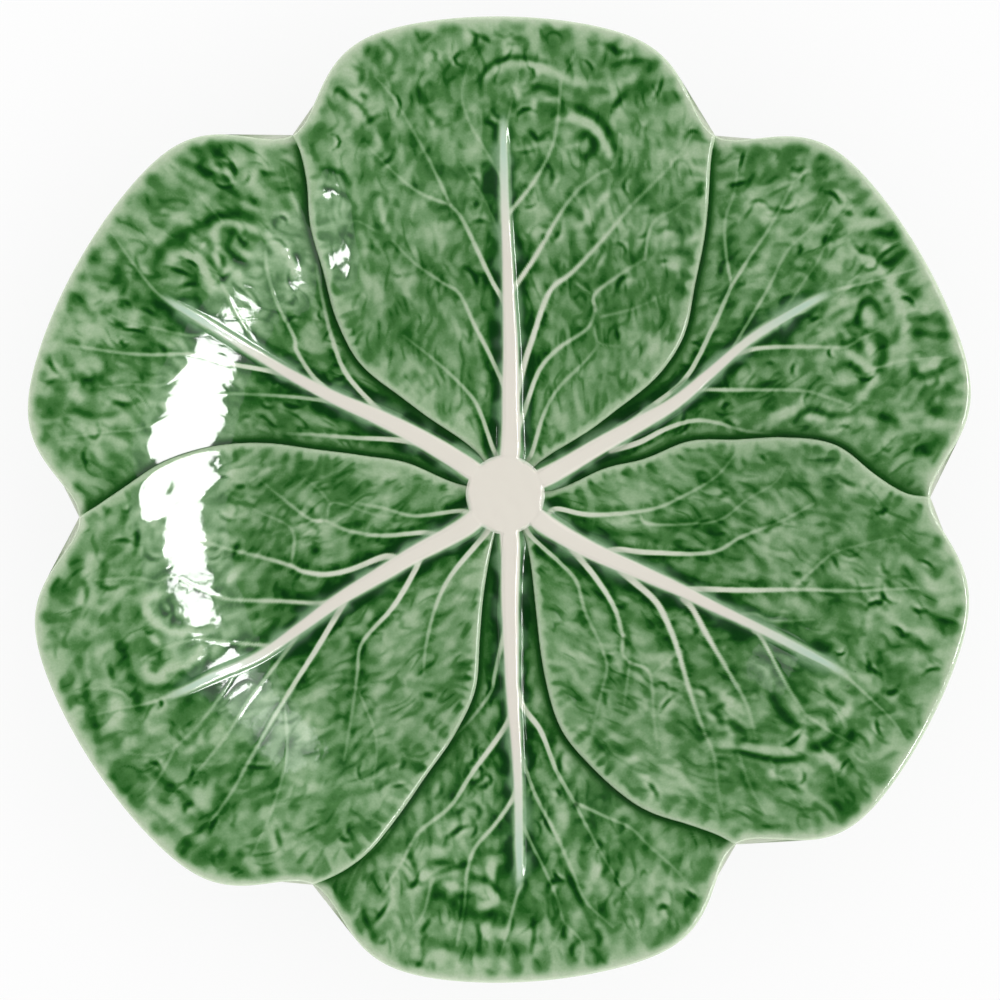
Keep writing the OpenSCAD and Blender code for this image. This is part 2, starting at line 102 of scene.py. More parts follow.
def along(values: Array, t: Array) -> Array:
    """Reads a smooth curve through evenly spaced values.

    Args:
        values: numbers or points, one row each.
        t: shares of the curve's length, from 0 to 1.

    Returns:
        The curve's value at each share.
    """
    values = np.asarray(values, float)
    n = len(values) - 1
    u = np.clip(t, 0, 1) * n
    i = np.minimum(np.floor(u).astype(int), n - 1)
    f = u - i
    if values.ndim > 1:
        f = f[:, None]
    padded = np.concatenate([[2 * values[0] - values[1]], values, [2 * values[-1] - values[-2]]])
    a, b, c, d = padded[i], padded[i + 1], padded[i + 2], padded[i + 3]
    return b + f * ((c - a) + f * ((2 * a - 5 * b + 4 * c - d) + f * (3 * b - a - 3 * c + d))) / 2


def soft_cap(z: Array, cap: float, softness: float) -> Array:
    """Holds z smoothly under a cap."""
    return cap - softness * np.logaddexp(0, (cap - z) / softness)


def soft_floor(z: Array, floor: float, softness: float) -> Array:
    """Holds z smoothly over a floor."""
    return floor + softness * np.logaddexp(0, (z - floor) / softness)


def length_of(line: Array) -> float:
    """Length of a line of points."""
    return float(np.linalg.norm(np.diff(line, axis=0), axis=1).sum())


class Noise:
    """Smooth random hills over a plane, the same each time for one seed."""

    def __init__(self, seed: int) -> None:
        """Draws the slopes at the corners of the plane's cells.

        Args:
            seed: what the draw starts from.
        """
        rng = np.random.default_rng(seed)
        self.order = rng.permutation(256)
        angles = rng.uniform(0, 2 * math.pi, 256)
        self.slopes = np.cos(angles), np.sin(angles)

    def __call__(self, x: Array, y: Array) -> Array:
        """Reads the hills.

        Args:
            x: the points' places in cells.
            y: the same, across.

        Returns:
            The height there, about -1 to 1.
        """
        xi, yi = np.floor(x).astype(int), np.floor(y).astype(int)
        xf, yf = x - xi, y - yi
        u, v = xf**3 * (xf * (xf * 6 - 15) + 10), yf**3 * (yf * (yf * 6 - 15) + 10)

        def corner(dx: int, dy: int) -> Array:
            """Height that one corner's slope gives."""
            h = self.order[(self.order[(xi + dx) & 255] + yi + dy) & 255]
            return self.slopes[0][h] * (xf - dx) + self.slopes[1][h] * (yf - dy)

        low = mix(corner(0, 0), corner(1, 0), u)
        high = mix(corner(0, 1), corner(1, 1), u)
        return mix(low, high, v) * 1.5


# ---- plan and form of the plate


@dataclass(frozen=True)
class Outline:
    """Outline of the six lobes, as a share of the plate's radius at each angle."""

    notch_angles: tuple[float, ...] = (0.3, 59.2, 119.5, 182.4, 244.2, 304.6)
    notch_depths: tuple[float, ...] = (0.112, 0.127, 0.132, 0.131, 0.115, 0.134)
    notch_width: float = 7.9
    reaches: tuple[float, ...] = (1.012, 1.0, 1.0, 1.004, 1.0, 1.006)
    blend: float = 0.4
    lobe_power: float = 4

    def lobe(self, a: Array) -> tuple[Array, Array]:
        """Finds the lobe that each angle lies in.

        Args:
            a: angles in degrees.

        Returns:
            The lobe's number, and how far across it the angle lies, from -1 to 1.
        """
        starts = np.array(self.notch_angles)
        ends = np.append(starts[1:], starts[0] + 360)
        leaf = (np.searchsorted(starts, np.mod(a, 360), side="right") - 1) % LEAVES
        middle, width = (starts + ends) / 2, ends - starts
        return leaf, turn(a, middle[leaf]) / width[leaf] * 2

    def share(self, a: Array) -> Array:
        """Reads the outline.

        Args:
            a: angles in degrees.

        Returns:
            Its radius at each, as a share of the plate's radius.
        """
        leaf, phase = self.lobe(a)
        reaches = np.array(self.reaches)
        beside = (leaf + np.where(phase > 0, 1, LEAVES - 1)) % LEAVES
        part = smooth((np.abs(phase) - 1 + self.blend) / self.blend) / 2
        reach = mix(reaches[leaf], reaches[beside], part)
        notches = zip(self.notch_angles, self.notch_depths)
        dip = sum(depth * bump(turn(a, notch), self.notch_width) for notch, depth in notches)
        return reach * (1 - dip)

    def lobed(self, share: Array, a: Array) -> Array:
        """How strongly a ring takes the outline's shape: round at the stem, lobed at the rim."""
        return mix(1, self.share(a), share**self.lobe_power)


@dataclass
class Plan:
    """Places points of the plate, given as a share of the way out and an angle, in millimetres."""

    plate_r: float = 133.0
    stem_r: float = 11.0
    stem_off: tuple[float, float] = (1.9, 1.35)
    grid_middle: tuple[float, float] = (499, 499.5)
    grid_across: float = 967
    outline: Outline = field(default_factory=Outline)
    shrink: float = 0.9999
    fit: Array = field(default_factory=lambda: np.array([[1.0, 1.0], [0.0, 0.0]]))

    def __post_init__(self) -> None:
        """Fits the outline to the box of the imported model."""
        rim = self.xy(np.ones(3600), np.arange(3600) / 10)
        low, high = np.array(CAD_LOW)[:2] / MM, np.array(CAD_HIGH)[:2] / MM
        scale = (high - low) / np.ptp(rim, axis=0) * self.shrink
        self.fit = np.array([scale, (high + low) / 2 - (rim.max(0) + rim.min(0)) / 2 * scale])

    @property
    def stem_share(self) -> float:
        """Share of the way out at which the stem end stops and the leaves start."""
        return self.stem_r / self.plate_r

    def radius(self, share: Array, a: Array) -> Array:
        """Radius of a ring round its own middle."""
        return self.plate_r * share * self.outline.lobed(share, a)

    def xy(self, share: Array, a: Array) -> Array:
        """Places points of the plan.

        Args:
            share: how far out each lies, as a share of the way from the middle to the rim.
            a: its angle in degrees.

        Returns:
            The points, one row each.
        """
        share, a = np.broadcast_arrays(share, a)
        inwards = 1 - np.clip((share - self.stem_share) / (1 - self.stem_share), 0, 1)
        r, t = self.radius(share, a), np.radians(a)
        x, y = self.stem_off[0] * inwards + r * np.cos(t), self.stem_off[1] * inwards + r * np.sin(t)
        return np.stack([x, y], -1) * self.fit[0] + self.fit[1]

    @property
    def stem(self) -> Array:
        """Middle of the stem end."""
        return np.array(self.stem_off) * self.fit[0] + self.fit[1]

    def px(self, route: tuple[float, ...]) -> Array:
        """The points in millimetres of a route on the plan's own grid, x to the right and y down."""
        flat = (np.reshape(route, (-1, 2)) - self.grid_middle) * (1, -1)
        return flat * (2 * self.plate_r / self.grid_across)


@dataclass(frozen=True)
class DishForm:
    """Heights of the dish under the leaves, in millimetres."""

    well_r: float = 67.0
    wall_w: float = 39.0
    wall_rise: float = 11.5
    rim_slope: float = 8.0
    rim_wave: float = 0.7
    wave_start: float = 0.7
    dish_t: float = 3.2
    foot_h: float = 5.0
    leaf_t: float = 1.6
    lap_rise: float = 1.3
    lap_w: float = 12.0
    tuck_drop: float = 0.6
    lap_at_stem: float = 0.3
    lap_grow: float = 20.0

    @property
    def well_z(self) -> float:
        """Height of the flat well under the leaves."""
        return self.foot_h + self.dish_t

    @property
    def under_lag(self) -> float:
        """Distance that the underside's curve lies outside the curve above it."""
        return self.dish_t * self.wall_rise / (self.wall_w + self.wall_rise) * 2

    def rise(self, r: Array) -> Array:
        """Draws the section of the wall and the rim.

        Args:
            r: distances from the plate's middle.

        Returns:
            The height above the well at each.
        """
        t = np.maximum((r - self.well_r) / self.wall_w, 0)
        slope = math.tan(math.radians(self.rim_slope))
        wall = self.wall_rise * t * t * (3 - 2 * t) + slope * self.wall_w * t * t * (t - 1)
        return np.where(t < 1, wall, self.wall_rise + slope * (r - self.well_r - self.wall_w))

    def wave(self, plan: Plan, share: Array, a: Array) -> Array:
        """Height of the wave along the rim."""
        grown = smooth((share - self.wave_start) / (1 - self.wave_start))
        return -self.rim_wave * grown * np.cos(2 * math.pi * plan.outline.lobe(a)[1])

    def top(self, plan: Plan, share: Array, a: Array, xy: Array) -> Array:
        """Height of the dish's upper surface."""
        return self.well_z + self.rise(np.hypot(xy[..., 0], xy[..., 1])) + self.wave(plan, share, a)

    def under(self, plan: Plan, share: Array, a: Array, xy: Array) -> Array:
        """Height of the dish's underside."""
        r = np.hypot(xy[..., 0], xy[..., 1]) - self.under_lag
        return self.foot_h + self.rise(r) + self.wave(plan, share, a)

    def grown(self, plan: Plan, share: Array) -> Array:
        """How far a lap has grown to its full height on the way out from the stem."""
        return mix(self.lap_at_stem, 1, smooth((plan.plate_r * share - plan.stem_r) / self.lap_grow))


# ---- meshes


class MeshMaker:
    """Collects the vertices and faces of one closed piece."""

    def __init__(self) -> None:
        """Starts an empty piece."""
        self.points: list[Array] = []
        self.normals: list[Array] = []
        self.values: dict[str, list[Array]] = {}
        self.faces: list[tuple[Array, bool]] = []
        self.count = 0

    def add(self, points: Array, normals: Array, **values: Array) -> Array:
        """Adds vertices.

        Args:
            points: places in millimetres, in an array whose last axis is x, y, z.
            normals: the surface's normals at them.
            values: named numbers painted on them, one each.

        Returns:
            The new vertices' numbers, in the shape of the array without its last axis.
        """
        shape = points.shape[:-1]
        n = int(np.prod(shape))
        self.points.append(points.reshape(n, 3))
        self.normals.append(np.broadcast_to(normals, points.shape).reshape(n, 3))
        for name in sorted(set(self.values) | set(values)):
            column = self.values.setdefault(name, [np.zeros(self.count)] if self.count else [])
            column.append(np.broadcast_to(values.get(name, 0.0), shape).reshape(n))
        self.count += n
        return np.arange(self.count - n, self.count).reshape(shape)

    def grid(self, ids: Array, seen: bool = True, wrap: bool = False) -> None:
        """Fills the faces between rows and columns of vertices.

        Args:
            ids: the vertices' numbers.
            seen: whether the faces can be seen, which gives them room on the piece's map.
            wrap: whether the last column is joined to the first.
        """
        if wrap:
            ids = np.concatenate([ids, ids[:, :1]], 1)
        quads = np.stack([ids[:-1, :-1], ids[1:, :-1], ids[1:, 1:], ids[:-1, 1:]], -1).reshape(-1, 4)
        self.faces.append((quads, seen))

    def zip(self, a: Array, b: Array, seen: bool = False) -> None:
        """Joins two lines of vertices of unlike counts with triangles.

        Args:
            a: the vertices' numbers along the first line.
            b: those along the second.
            seen: whether the faces can be seen.
        """
        i = j = 0
        made = []
        while i < len(a) - 1 or j < len(b) - 1:
            if j == len(b) - 1 or (i < len(a) - 1 and (i + 1) * (len(b) - 1) <= (j + 1) * (len(a) - 1)):
                made.append((a[i], a[i + 1], b[j]))
                i += 1
            else:
                made.append((a[i], b[j + 1], b[j]))
                j += 1
        self.faces.append((np.array([t for t in made if len(set(t)) == 3]), seen))

    def fan(self, loop: Array, middle: int, seen: bool = True) -> None:
        """Closes a loop of vertices to one in its middle."""
        self.faces.append((np.stack([loop, np.roll(loop, -1), np.full(len(loop), middle)], 1), seen))

    def build(self, name: str, material: bpy.types.Material, uv: Array | None = None) -> bpy.types.Object:
        """Makes the mesh object.

        Args:
            name: the object's name.
            material: its finish.
            uv: where each vertex lies on the piece's own map, from 0 to 1; None lays it as seen from above.

        Returns:
            The new object, in the scene.
        """
        points, normals = np.concatenate(self.points), np.concatenate(self.normals)
        uv = planar_uv(points) if uv is None else uv
        faces = [face for block, _ in self.faces for face in block.tolist()]
        me = bpy.data.meshes.new(name)
        me.from_pydata((points * MM).tolist(), [], faces)
        me.polygons.foreach_set("use_smooth", np.ones(len(me.polygons), bool))
        layer = me.uv_layers.new(name="OFBake", do_init=False)
        corners = np.concatenate([block.ravel() for block, _ in self.faces])
        seen = np.concatenate([np.full(block.size, seen) for block, seen in self.faces])
        spots = np.where(seen[:, None], uv[corners], PARK_LOW + uv[corners] * PARK_SIZE)
        layer.uv.foreach_set("vector", spots.astype(np.float32).ravel())
        for key, parts in self.values.items():
            column = me.attributes.new(key, "FLOAT", "POINT")
            column.data.foreach_set("value", np.concatenate(parts).astype(np.float32))
        me.materials.append(material)
        shell = bmesh.new()
        shell.from_mesh(me)
        bmesh.ops.recalc_face_normals(shell, faces=shell.faces)
        if shell.calc_volume(signed=True) < 0:
            bmesh.ops.reverse_faces(shell, faces=shell.faces)
        shell.to_mesh(me)
        shell.free()
        lengths = np.maximum(np.linalg.norm(normals, axis=1, keepdims=True), TINY)
        me.normals_split_custom_set_from_vertices((normals / lengths).tolist())
        ob = bpy.data.objects.new(name, me)
        bpy.context.collection.objects.link(ob)
        return ob


def grid_normals(p: Array) -> Array:
    """Works out a surface's normals, facing up.

    Args:
        p: the surface's points in rows and columns.

    Returns:
        The normal at each.
    """
    rows, cols = np.gradient(p, axis=0), np.gradient(p, axis=1)
    n = np.cross(rows, cols)
    n *= np.where(n[..., 2:] < 0, -1, 1)
    return n / np.maximum(np.linalg.norm(n, axis=-1, keepdims=True), TINY)


def planar_uv(points: Array, margin: float = 0.01) -> Array:
    """Lays a piece on its map as it is seen from above.

    Args:
        points: its points, of which only x and y count.
        margin: room left free along the map's sides.

    Returns:
        Where each point lies on the map, from 0 to 1.
    """
    flat = points[:, :2]
    low, span = flat.min(0), np.ptp(flat, axis=0).max()
    return margin + (1 - 2 * margin) * (flat - low) / span


@dataclass
class Sheet:
    """A fine flat grid over one leaf, on which its relief and glaze are worked out."""

    low: Array
    high: Array
    step: float = 0.25

    def __post_init__(self) -> None:
        """Lays out the grid's points."""
        self.nx, self.ny = (np.ceil((self.high - self.low) / self.step).astype(int) + 1).tolist()
        columns, rows = np.arange(self.nx) * self.step, np.arange(self.ny) * self.step
        self.x, self.y = np.meshgrid(self.low[0] + columns, self.low[1] + rows)

    def blur(self, a: Array, width: float) -> Array:
        """Spreads a field.

        Args:
            a: its value at each grid point.
            width: width in millimetres of the bell that spreads it.

        Returns:
            The spread field.
        """
        reach = max(int(3 * width / self.step), 1)
        weights = np.exp(-0.5 * (np.arange(-reach, reach + 1) * self.step / width) ** 2)
        weights /= weights.sum()
        for axis in (0, 1):
            pad = [(reach, reach) if k == axis else (0, 0) for k in (0, 1)]
            wide, n = np.pad(a, pad, mode="edge"), a.shape[axis]
            a = sum(w * np.take(wide, np.arange(k, k + n), axis) for k, w in enumerate(weights))
        return a

    def near(self, line: Array, reach: float) -> tuple[Array, Array, Array]:
        """Measures from a line of points.

        Args:
            line: the line's points in millimetres.
            reach: how far from it to measure.

        Returns:
            For each grid point its distance from the line, far where it is out of reach, how many
            millimetres along the line it lies, and its side, 1 on the left and -1 on the right.
        """
        far = np.full(self.x.shape, FAR)
        place, side = np.zeros(self.x.shape), np.ones(self.x.shape)
        run = 0.0
        for p, q in zip(line[:-1], line[1:]):
            d = q - p
            length = float(np.hypot(*d))
            if length < TINY:
                continue
            box_low = (np.minimum(p, q) - reach - self.low) / self.step
            box_high = (np.maximum(p, q) + reach - self.low) / self.step
            x0, y0 = np.maximum(np.floor(box_low).astype(int), 0)
            x1, y1 = np.minimum(np.ceil(box_high).astype(int) + 1, [self.nx, self.ny])
            if x0 < x1 and y0 < y1:
                part = np.s_[y0:y1, x0:x1]
                ex, ey = self.x[part] - p[0], self.y[part] - p[1]
                t = np.clip((ex * d[0] + ey * d[1]) / length**2, 0, 1)
                away = np.hypot(ex - t * d[0], ey - t * d[1])
                better = away < far[part]
                far[part] = np.where(better, away, far[part])
                place[part] = np.where(better, run + t * length, place[part])
                side[part] = np.where(better, np.sign(d[0] * ey - d[1] * ex), side[part])
            run += length
        return far, place, side

    def read(self, a: Array, xy: Array) -> Array:
        """Reads a field between its grid points.

        Args:
            a: its value at each grid point.
            xy: points of the plan.

        Returns:
            Its value at each of them.
        """
        u = np.clip((xy[..., 0] - self.low[0]) / self.step, 0, self.nx - 1.001)
        v = np.clip((xy[..., 1] - self.low[1]) / self.step, 0, self.ny - 1.001)
        i, j = u.astype(int), v.astype(int)
        f, g = u - i, v - j
        return mix(mix(a[j, i], a[j, i + 1], f), mix(a[j + 1, i], a[j + 1, i + 1], f), g)


def fine_line(points: Array, spacing: float = 0.8) -> Array:
    """A smooth line through points, with a vertex about every spacing."""
    n = max(int(length_of(points) / spacing), 2)
    return along(points, np.linspace(0, 1, n + 1))


# ---- leaves

Route = tuple[float, ...]


@dataclass(frozen=True)
class Vein:
    """A side vein: its width at the root, and its route on the plan's own grid, x and y by turns."""

    width: float
    route: Route
    tip: float = 0.42


@dataclass(frozen=True)
class Pucker:
    """A fold pressed into the leaf: height above the surface or below it, width and route."""

    height: float
    width: float
    route: Route


@dataclass(frozen=True)
class LeafTable:
    """What sets one leaf apart from the others."""

    name: str
    lap: Lap
    midrib: tuple[float, ...]
    rib_end: float
    veins: tuple[Vein, ...]
    puckers: tuple[tuple[Pucker, ...], ...]


def press(height: float, width: float, *routes: Route) -> tuple[Pucker, ...]:
    """Puckers of one height and width."""
    return tuple(Pucker(height, width, route) for route in routes)


EDGES = (
    (5.5, 14.6, 14.8, 16.6, 13.9, 12.1, 9.4, 4.1, 1, 0.3),
    (43, 37.6, 37.1, 37.6, 41.1, 47.6, 52.1, 55.6, 58, 59.2),
    (123.5, 133, 136.3, 137.3, 133.5, 128.5, 125.2, 121.8, 120, 119.5),
    (167, 161.5, 163.8, 165.8, 167, 169.5, 173.3, 177.7, 180.6, 182.4),
    (255.5, 258, 260.5, 262, 259, 255, 252.2, 249.8, 247, 244.2),
    (294.5, 287.5, 284, 283, 284.2, 288.8, 293.8, 299.4, 302.8, 304.6),
)

UPPER_RIGHT = LeafTable(
    "upper_right",
    Lap.UNDER,
    (24, 27.1, 27.9, 28.4, 30.6, 32.3, 32.4, 31.9, 30.1, 28.6),
    0.818,
    (
        Vein(8, (604, 444, 650, 408, 688, 376, 715, 325, 733, 284), 0.7),
        Vein(4.5, (733, 284, 727, 252, 726, 219, 735, 190, 739, 156)),
        Vein(5, (732, 286, 750, 257, 768, 230, 782, 205, 793, 183)),
        Vein(5, (728, 358, 733, 350, 755, 312, 770, 286, 788, 250, 811, 228, 829, 201)),
        Vein(3.5, (777, 318, 784, 312, 806, 279, 820, 257, 836, 222, 858, 201)),
        Vein(6.5, (738, 353, 762, 347, 806, 346, 844, 347, 862, 338, 880, 330)),
        Vein(6.5, (672, 406, 697, 390, 739, 389, 802, 390, 829, 397, 851, 405)),
        Vein(8, (612, 450, 640, 442, 668, 428, 695, 420, 719, 422, 746, 430, 775, 434)),
        Vein(3.5, (868, 370, 880, 367, 907, 360, 947, 358)),
        Vein(4, (835, 290, 873, 281, 911, 270, 932, 262)),
        Vein(3, (878, 281, 900, 291, 915, 300)),
    ),
    (
        press(0.65, 11, (843, 254, 861, 256, 880, 269, 894, 289, 902, 312, 907, 350)),
        press(-0.55, 6, (838, 327, 856, 321, 863, 305, 874, 302, 882, 315)),
        press(-0.45, 6, (832, 317, 850, 307), (867, 214, 883, 216), (910, 318, 931, 318),
              (912, 333, 944, 335)),
        press(0.55, 8, (866, 310, 869, 322)),
        press(0.7, 8, (840, 350, 853, 355, 867, 366, 875, 375, 869, 388, 859, 402, 850, 408)),
        press(-0.5, 6, (835, 369, 850, 364, 863, 377, 861, 387), (874, 232, 894, 235),
              (797, 420, 812, 409, 832, 415, 853, 412, 863, 402)),
        press(-0.6, 9, (877, 334, 884, 353, 879, 368)),
        press(0.6, 8, (866, 337, 871, 356), (776, 415, 789, 412, 802, 404)),
        press(-0.5, 7, (872, 250, 888, 264, 906, 248), (910, 358, 918, 376, 939, 372)),
        press(-0.5, 10, (904, 284, 923, 298)),
        press(0.35, 6, (882, 245, 891, 249)),
        press(0.6, 7, (805, 417, 824, 418)),
        press(-0.55, 7, (872, 414, 894, 420)),
        press(-0.5, 12, (925, 400, 938, 408, 944, 398)),
        press(-0.45, 9, (915, 452, 935, 440)),
        press(-0.35, 20, (737, 315, 737, 325), (808, 278, 816, 272)),
        press(-0.35, 14, (812, 372, 840, 392, 860, 388)),
        press(0.35, 12, (905, 400, 905, 430, 880, 448)),
        press(-0.35, 10, (760, 215, 756, 240)),
        press(0.35, 14, (800, 195, 815, 240, 795, 275)),
        press(0.3, 12, (758, 200, 768, 230)),
    ),
)
TOP = LeafTable(
    "top",
    Lap.OVER,
    (83.5, 86.2, 87.2, 88.2, 88.8, 89.3, 89.5, 89.5, 89.4, 89.2),
    0.808,
    (
        Vein(7, (508, 320, 504, 301, 490, 275, 463, 219, 450, 203), 0.7),
        Vein(4.5, (450, 203, 432, 165, 414, 132, 392, 96, 374, 76)),
        Vein(4.5, (450, 203, 421, 192, 399, 176, 383, 161, 365, 143)),
        Vein(4, (506, 243, 499, 230, 488, 205, 477, 185, 461, 161)),
        Vein(4, (504, 188, 501, 176, 486, 150, 470, 123, 462, 96, 468, 67, 477, 51)),
        Vein(6.5, (510, 400, 504, 385, 490, 354, 475, 325, 459, 292, 441, 280, 414, 261, 392, 239)),
        Vein(6.5, (500, 460, 493, 448, 481, 414, 470, 394, 441, 365, 403, 334), 0.3),
        Vein(5.5, (507, 215, 514, 205, 535, 179, 553, 143, 559, 107, 562, 78, 577, 51)),
        Vein(7, (512, 290, 519, 279, 537, 252, 559, 214, 577, 190, 597, 174, 615, 163, 620, 134), 0.3),
        Vein(9, (513, 410, 524, 365, 533, 336, 550, 290, 573, 270, 604, 237, 631, 205), 0.5),
        Vein(4, (631, 205, 675, 160, 700, 120)),
        Vein(7.5, (514, 440, 524, 412, 539, 370, 559, 347, 588, 327, 596, 308), 0.6),
        Vein(5, (596, 308, 596, 292, 622, 272, 646, 257), 0.8),
        Vein(4.5, (646, 257, 653, 223, 675, 208, 700, 190)),
        Vein(3.5, (598, 316, 637, 306, 675, 288)),
        Vein(3.5, (594, 322, 600, 341, 620, 345)),
        Vein(3.5, (596, 295, 582, 285, 568, 276)),
        Vein(6, (528, 460, 533, 450, 544, 414, 559, 387, 588, 358, 600, 341)),
        Vein(3, (506, 130, 512, 100, 520, 65, 522, 40)),
        Vein(3, (377, 230, 352, 220, 340, 250)),
    ),
    (
        press(0.55, 8, (487, 76, 500, 67, 520, 64, 548, 70, 575, 82, 608, 84)),
        press(-0.5, 5, (481, 95, 481, 78, 492, 64, 514, 57, 545, 62),
              (337, 90, 348, 96, 362, 108, 370, 120)),
        press(-0.5, 6, (525, 94, 540, 87, 556, 91)),
        press(0.45, 6, (533, 112, 535, 100, 546, 98, 556, 100), (380, 195, 382, 215, 386, 228)),
        press(-0.45, 5, (530, 130, 538, 138, 548, 132), (351, 65, 362, 72, 360, 84)),
        press(0.75, 7, (560, 118, 578, 119, 592, 126, 602, 138, 610, 152)),
        press(-0.65, 8, (572, 140, 588, 134, 594, 146, 584, 156, 574, 150)),
        press(-0.6, 7, (570, 104, 592, 114, 606, 126, 614, 142, 618, 160)),
        press(0.5, 10, (592, 98, 610, 96, 622, 84, 636, 74)),
        press(-0.4, 5, (612, 66, 628, 62, 648, 60), (605, 44, 618, 52, 630, 50),
              (312, 187, 330, 188, 345, 195, 355, 206), (322, 168, 340, 172, 348, 182)),
        press(-0.45, 6, (384, 40, 395, 55, 390, 72)),
        press(-0.35, 5, (420, 90, 428, 110, 440, 122)),
        press(0.4, 7, (375, 130, 380, 142, 376, 150)),
        press(0.5, 6, (600, 202, 604, 196, 610, 190), (578, 225, 586, 220, 588, 212)),
        press(-0.4, 7, (570, 205, 580, 212, 590, 228, 600, 214), (665, 252, 680, 250, 692, 254)),
        press(0.45, 7, (688, 240, 696, 236, 702, 230), (670, 266, 680, 264)),
        press(0.4, 8, (645, 355, 655, 345, 650, 336)),
        press(-0.45, 7, (486, 165, 488, 180, 482, 192)),
        press(-0.45, 9, (487, 310, 497, 340, 503, 372)),
        press(-0.45, 8, (528, 360, 520, 400, 518, 430)),
    ),
)
UPPER_LEFT = LeafTable(
    "upper_left",
    Lap.UNDER,
    (143.5, 145.6, 147.7, 149.6, 150, 149.7, 149.3, 149.1, 147.7, 146.1),
    0.828,
    (
        Vein(8, (405, 432, 392, 423, 347, 376, 330, 335, 321, 297, 315, 263), 0.5),
        Vein(7, (340, 401, 312, 376, 295, 350, 292, 335, 275, 301, 266, 268, 265, 245)),
        Vein(5, (262, 356, 237, 315, 223, 288, 208, 263, 185, 243)),
        Vein(3.5, (300, 215, 292, 195, 284, 165)),
        Vein(7, (300, 379, 268, 370, 223, 362, 190, 354, 134, 354, 67, 345)),
        Vein(6.5, (350, 405, 317, 399, 279, 395, 230, 393, 205, 396)),
        Vein(8, (425, 444, 392, 439, 350, 437, 312, 434, 286, 433)),
        Vein(3.5, (205, 396, 145, 427, 107, 432, 56, 439)),
        Vein(4, (215, 329, 190, 335, 156, 328, 125, 321, 105, 312)),
        Vein(3.5, (190, 360, 163, 384, 134, 384, 100, 387)),
        Vein(4, (179, 308, 156, 292, 138, 270, 125, 252, 110, 230)),
        Vein(3, (223, 222, 208, 205, 196, 190)),
    ),
    (
        press(0.65, 8, (254, 228, 230, 223, 219, 225, 215, 239, 219, 262, 227, 270, 236, 273)),
        press(-0.55, 6, (233, 231, 228, 246, 233, 255, 246, 265)),
        press(-0.45, 7, (242, 242, 247, 245)),
        press(0.45, 6, (239, 252, 252, 258)),
        press(0.6, 8, (171, 262, 180, 254, 196, 258, 209, 278, 211, 293)),
        press(-0.6, 12, (179, 271, 188, 271, 196, 290)),
        press(-0.45, 9, (156, 271, 161, 252, 174, 239, 190, 230, 214, 218, 239, 213, 252, 216)),
        press(-0.35, 8, (190, 232, 206, 224), (62, 372, 88, 380, 110, 372)),
        press(0.3, 9, (153, 249, 166, 230, 182, 214, 203, 198)),
        press(-0.5, 6, (188, 163, 206, 172, 225, 182, 239, 198), (293, 250, 298, 262)),
        press(0.45, 8, (246, 207, 271, 212), (290, 195, 298, 214)),
        press(0.45, 7, (201, 243, 205, 246)),
        press(0.55, 8, (285, 252, 293, 268)),
        press(-0.4, 7, (232, 169, 238, 175), (251, 199, 257, 203), (246, 233, 262, 240, 270, 255)),
        press(-0.4, 6, (214, 150, 220, 156)),
        press(-0.4, 9, (122, 260, 112, 285)),
        press(0.4, 10, (140, 300, 128, 330, 100, 338)),
        press(-0.4, 8, (80, 300, 92, 318)),
        press(-0.35, 6, (70, 410, 100, 416, 128, 408)),
        press(0.35, 9, (70, 395, 96, 398)),
    ),
)
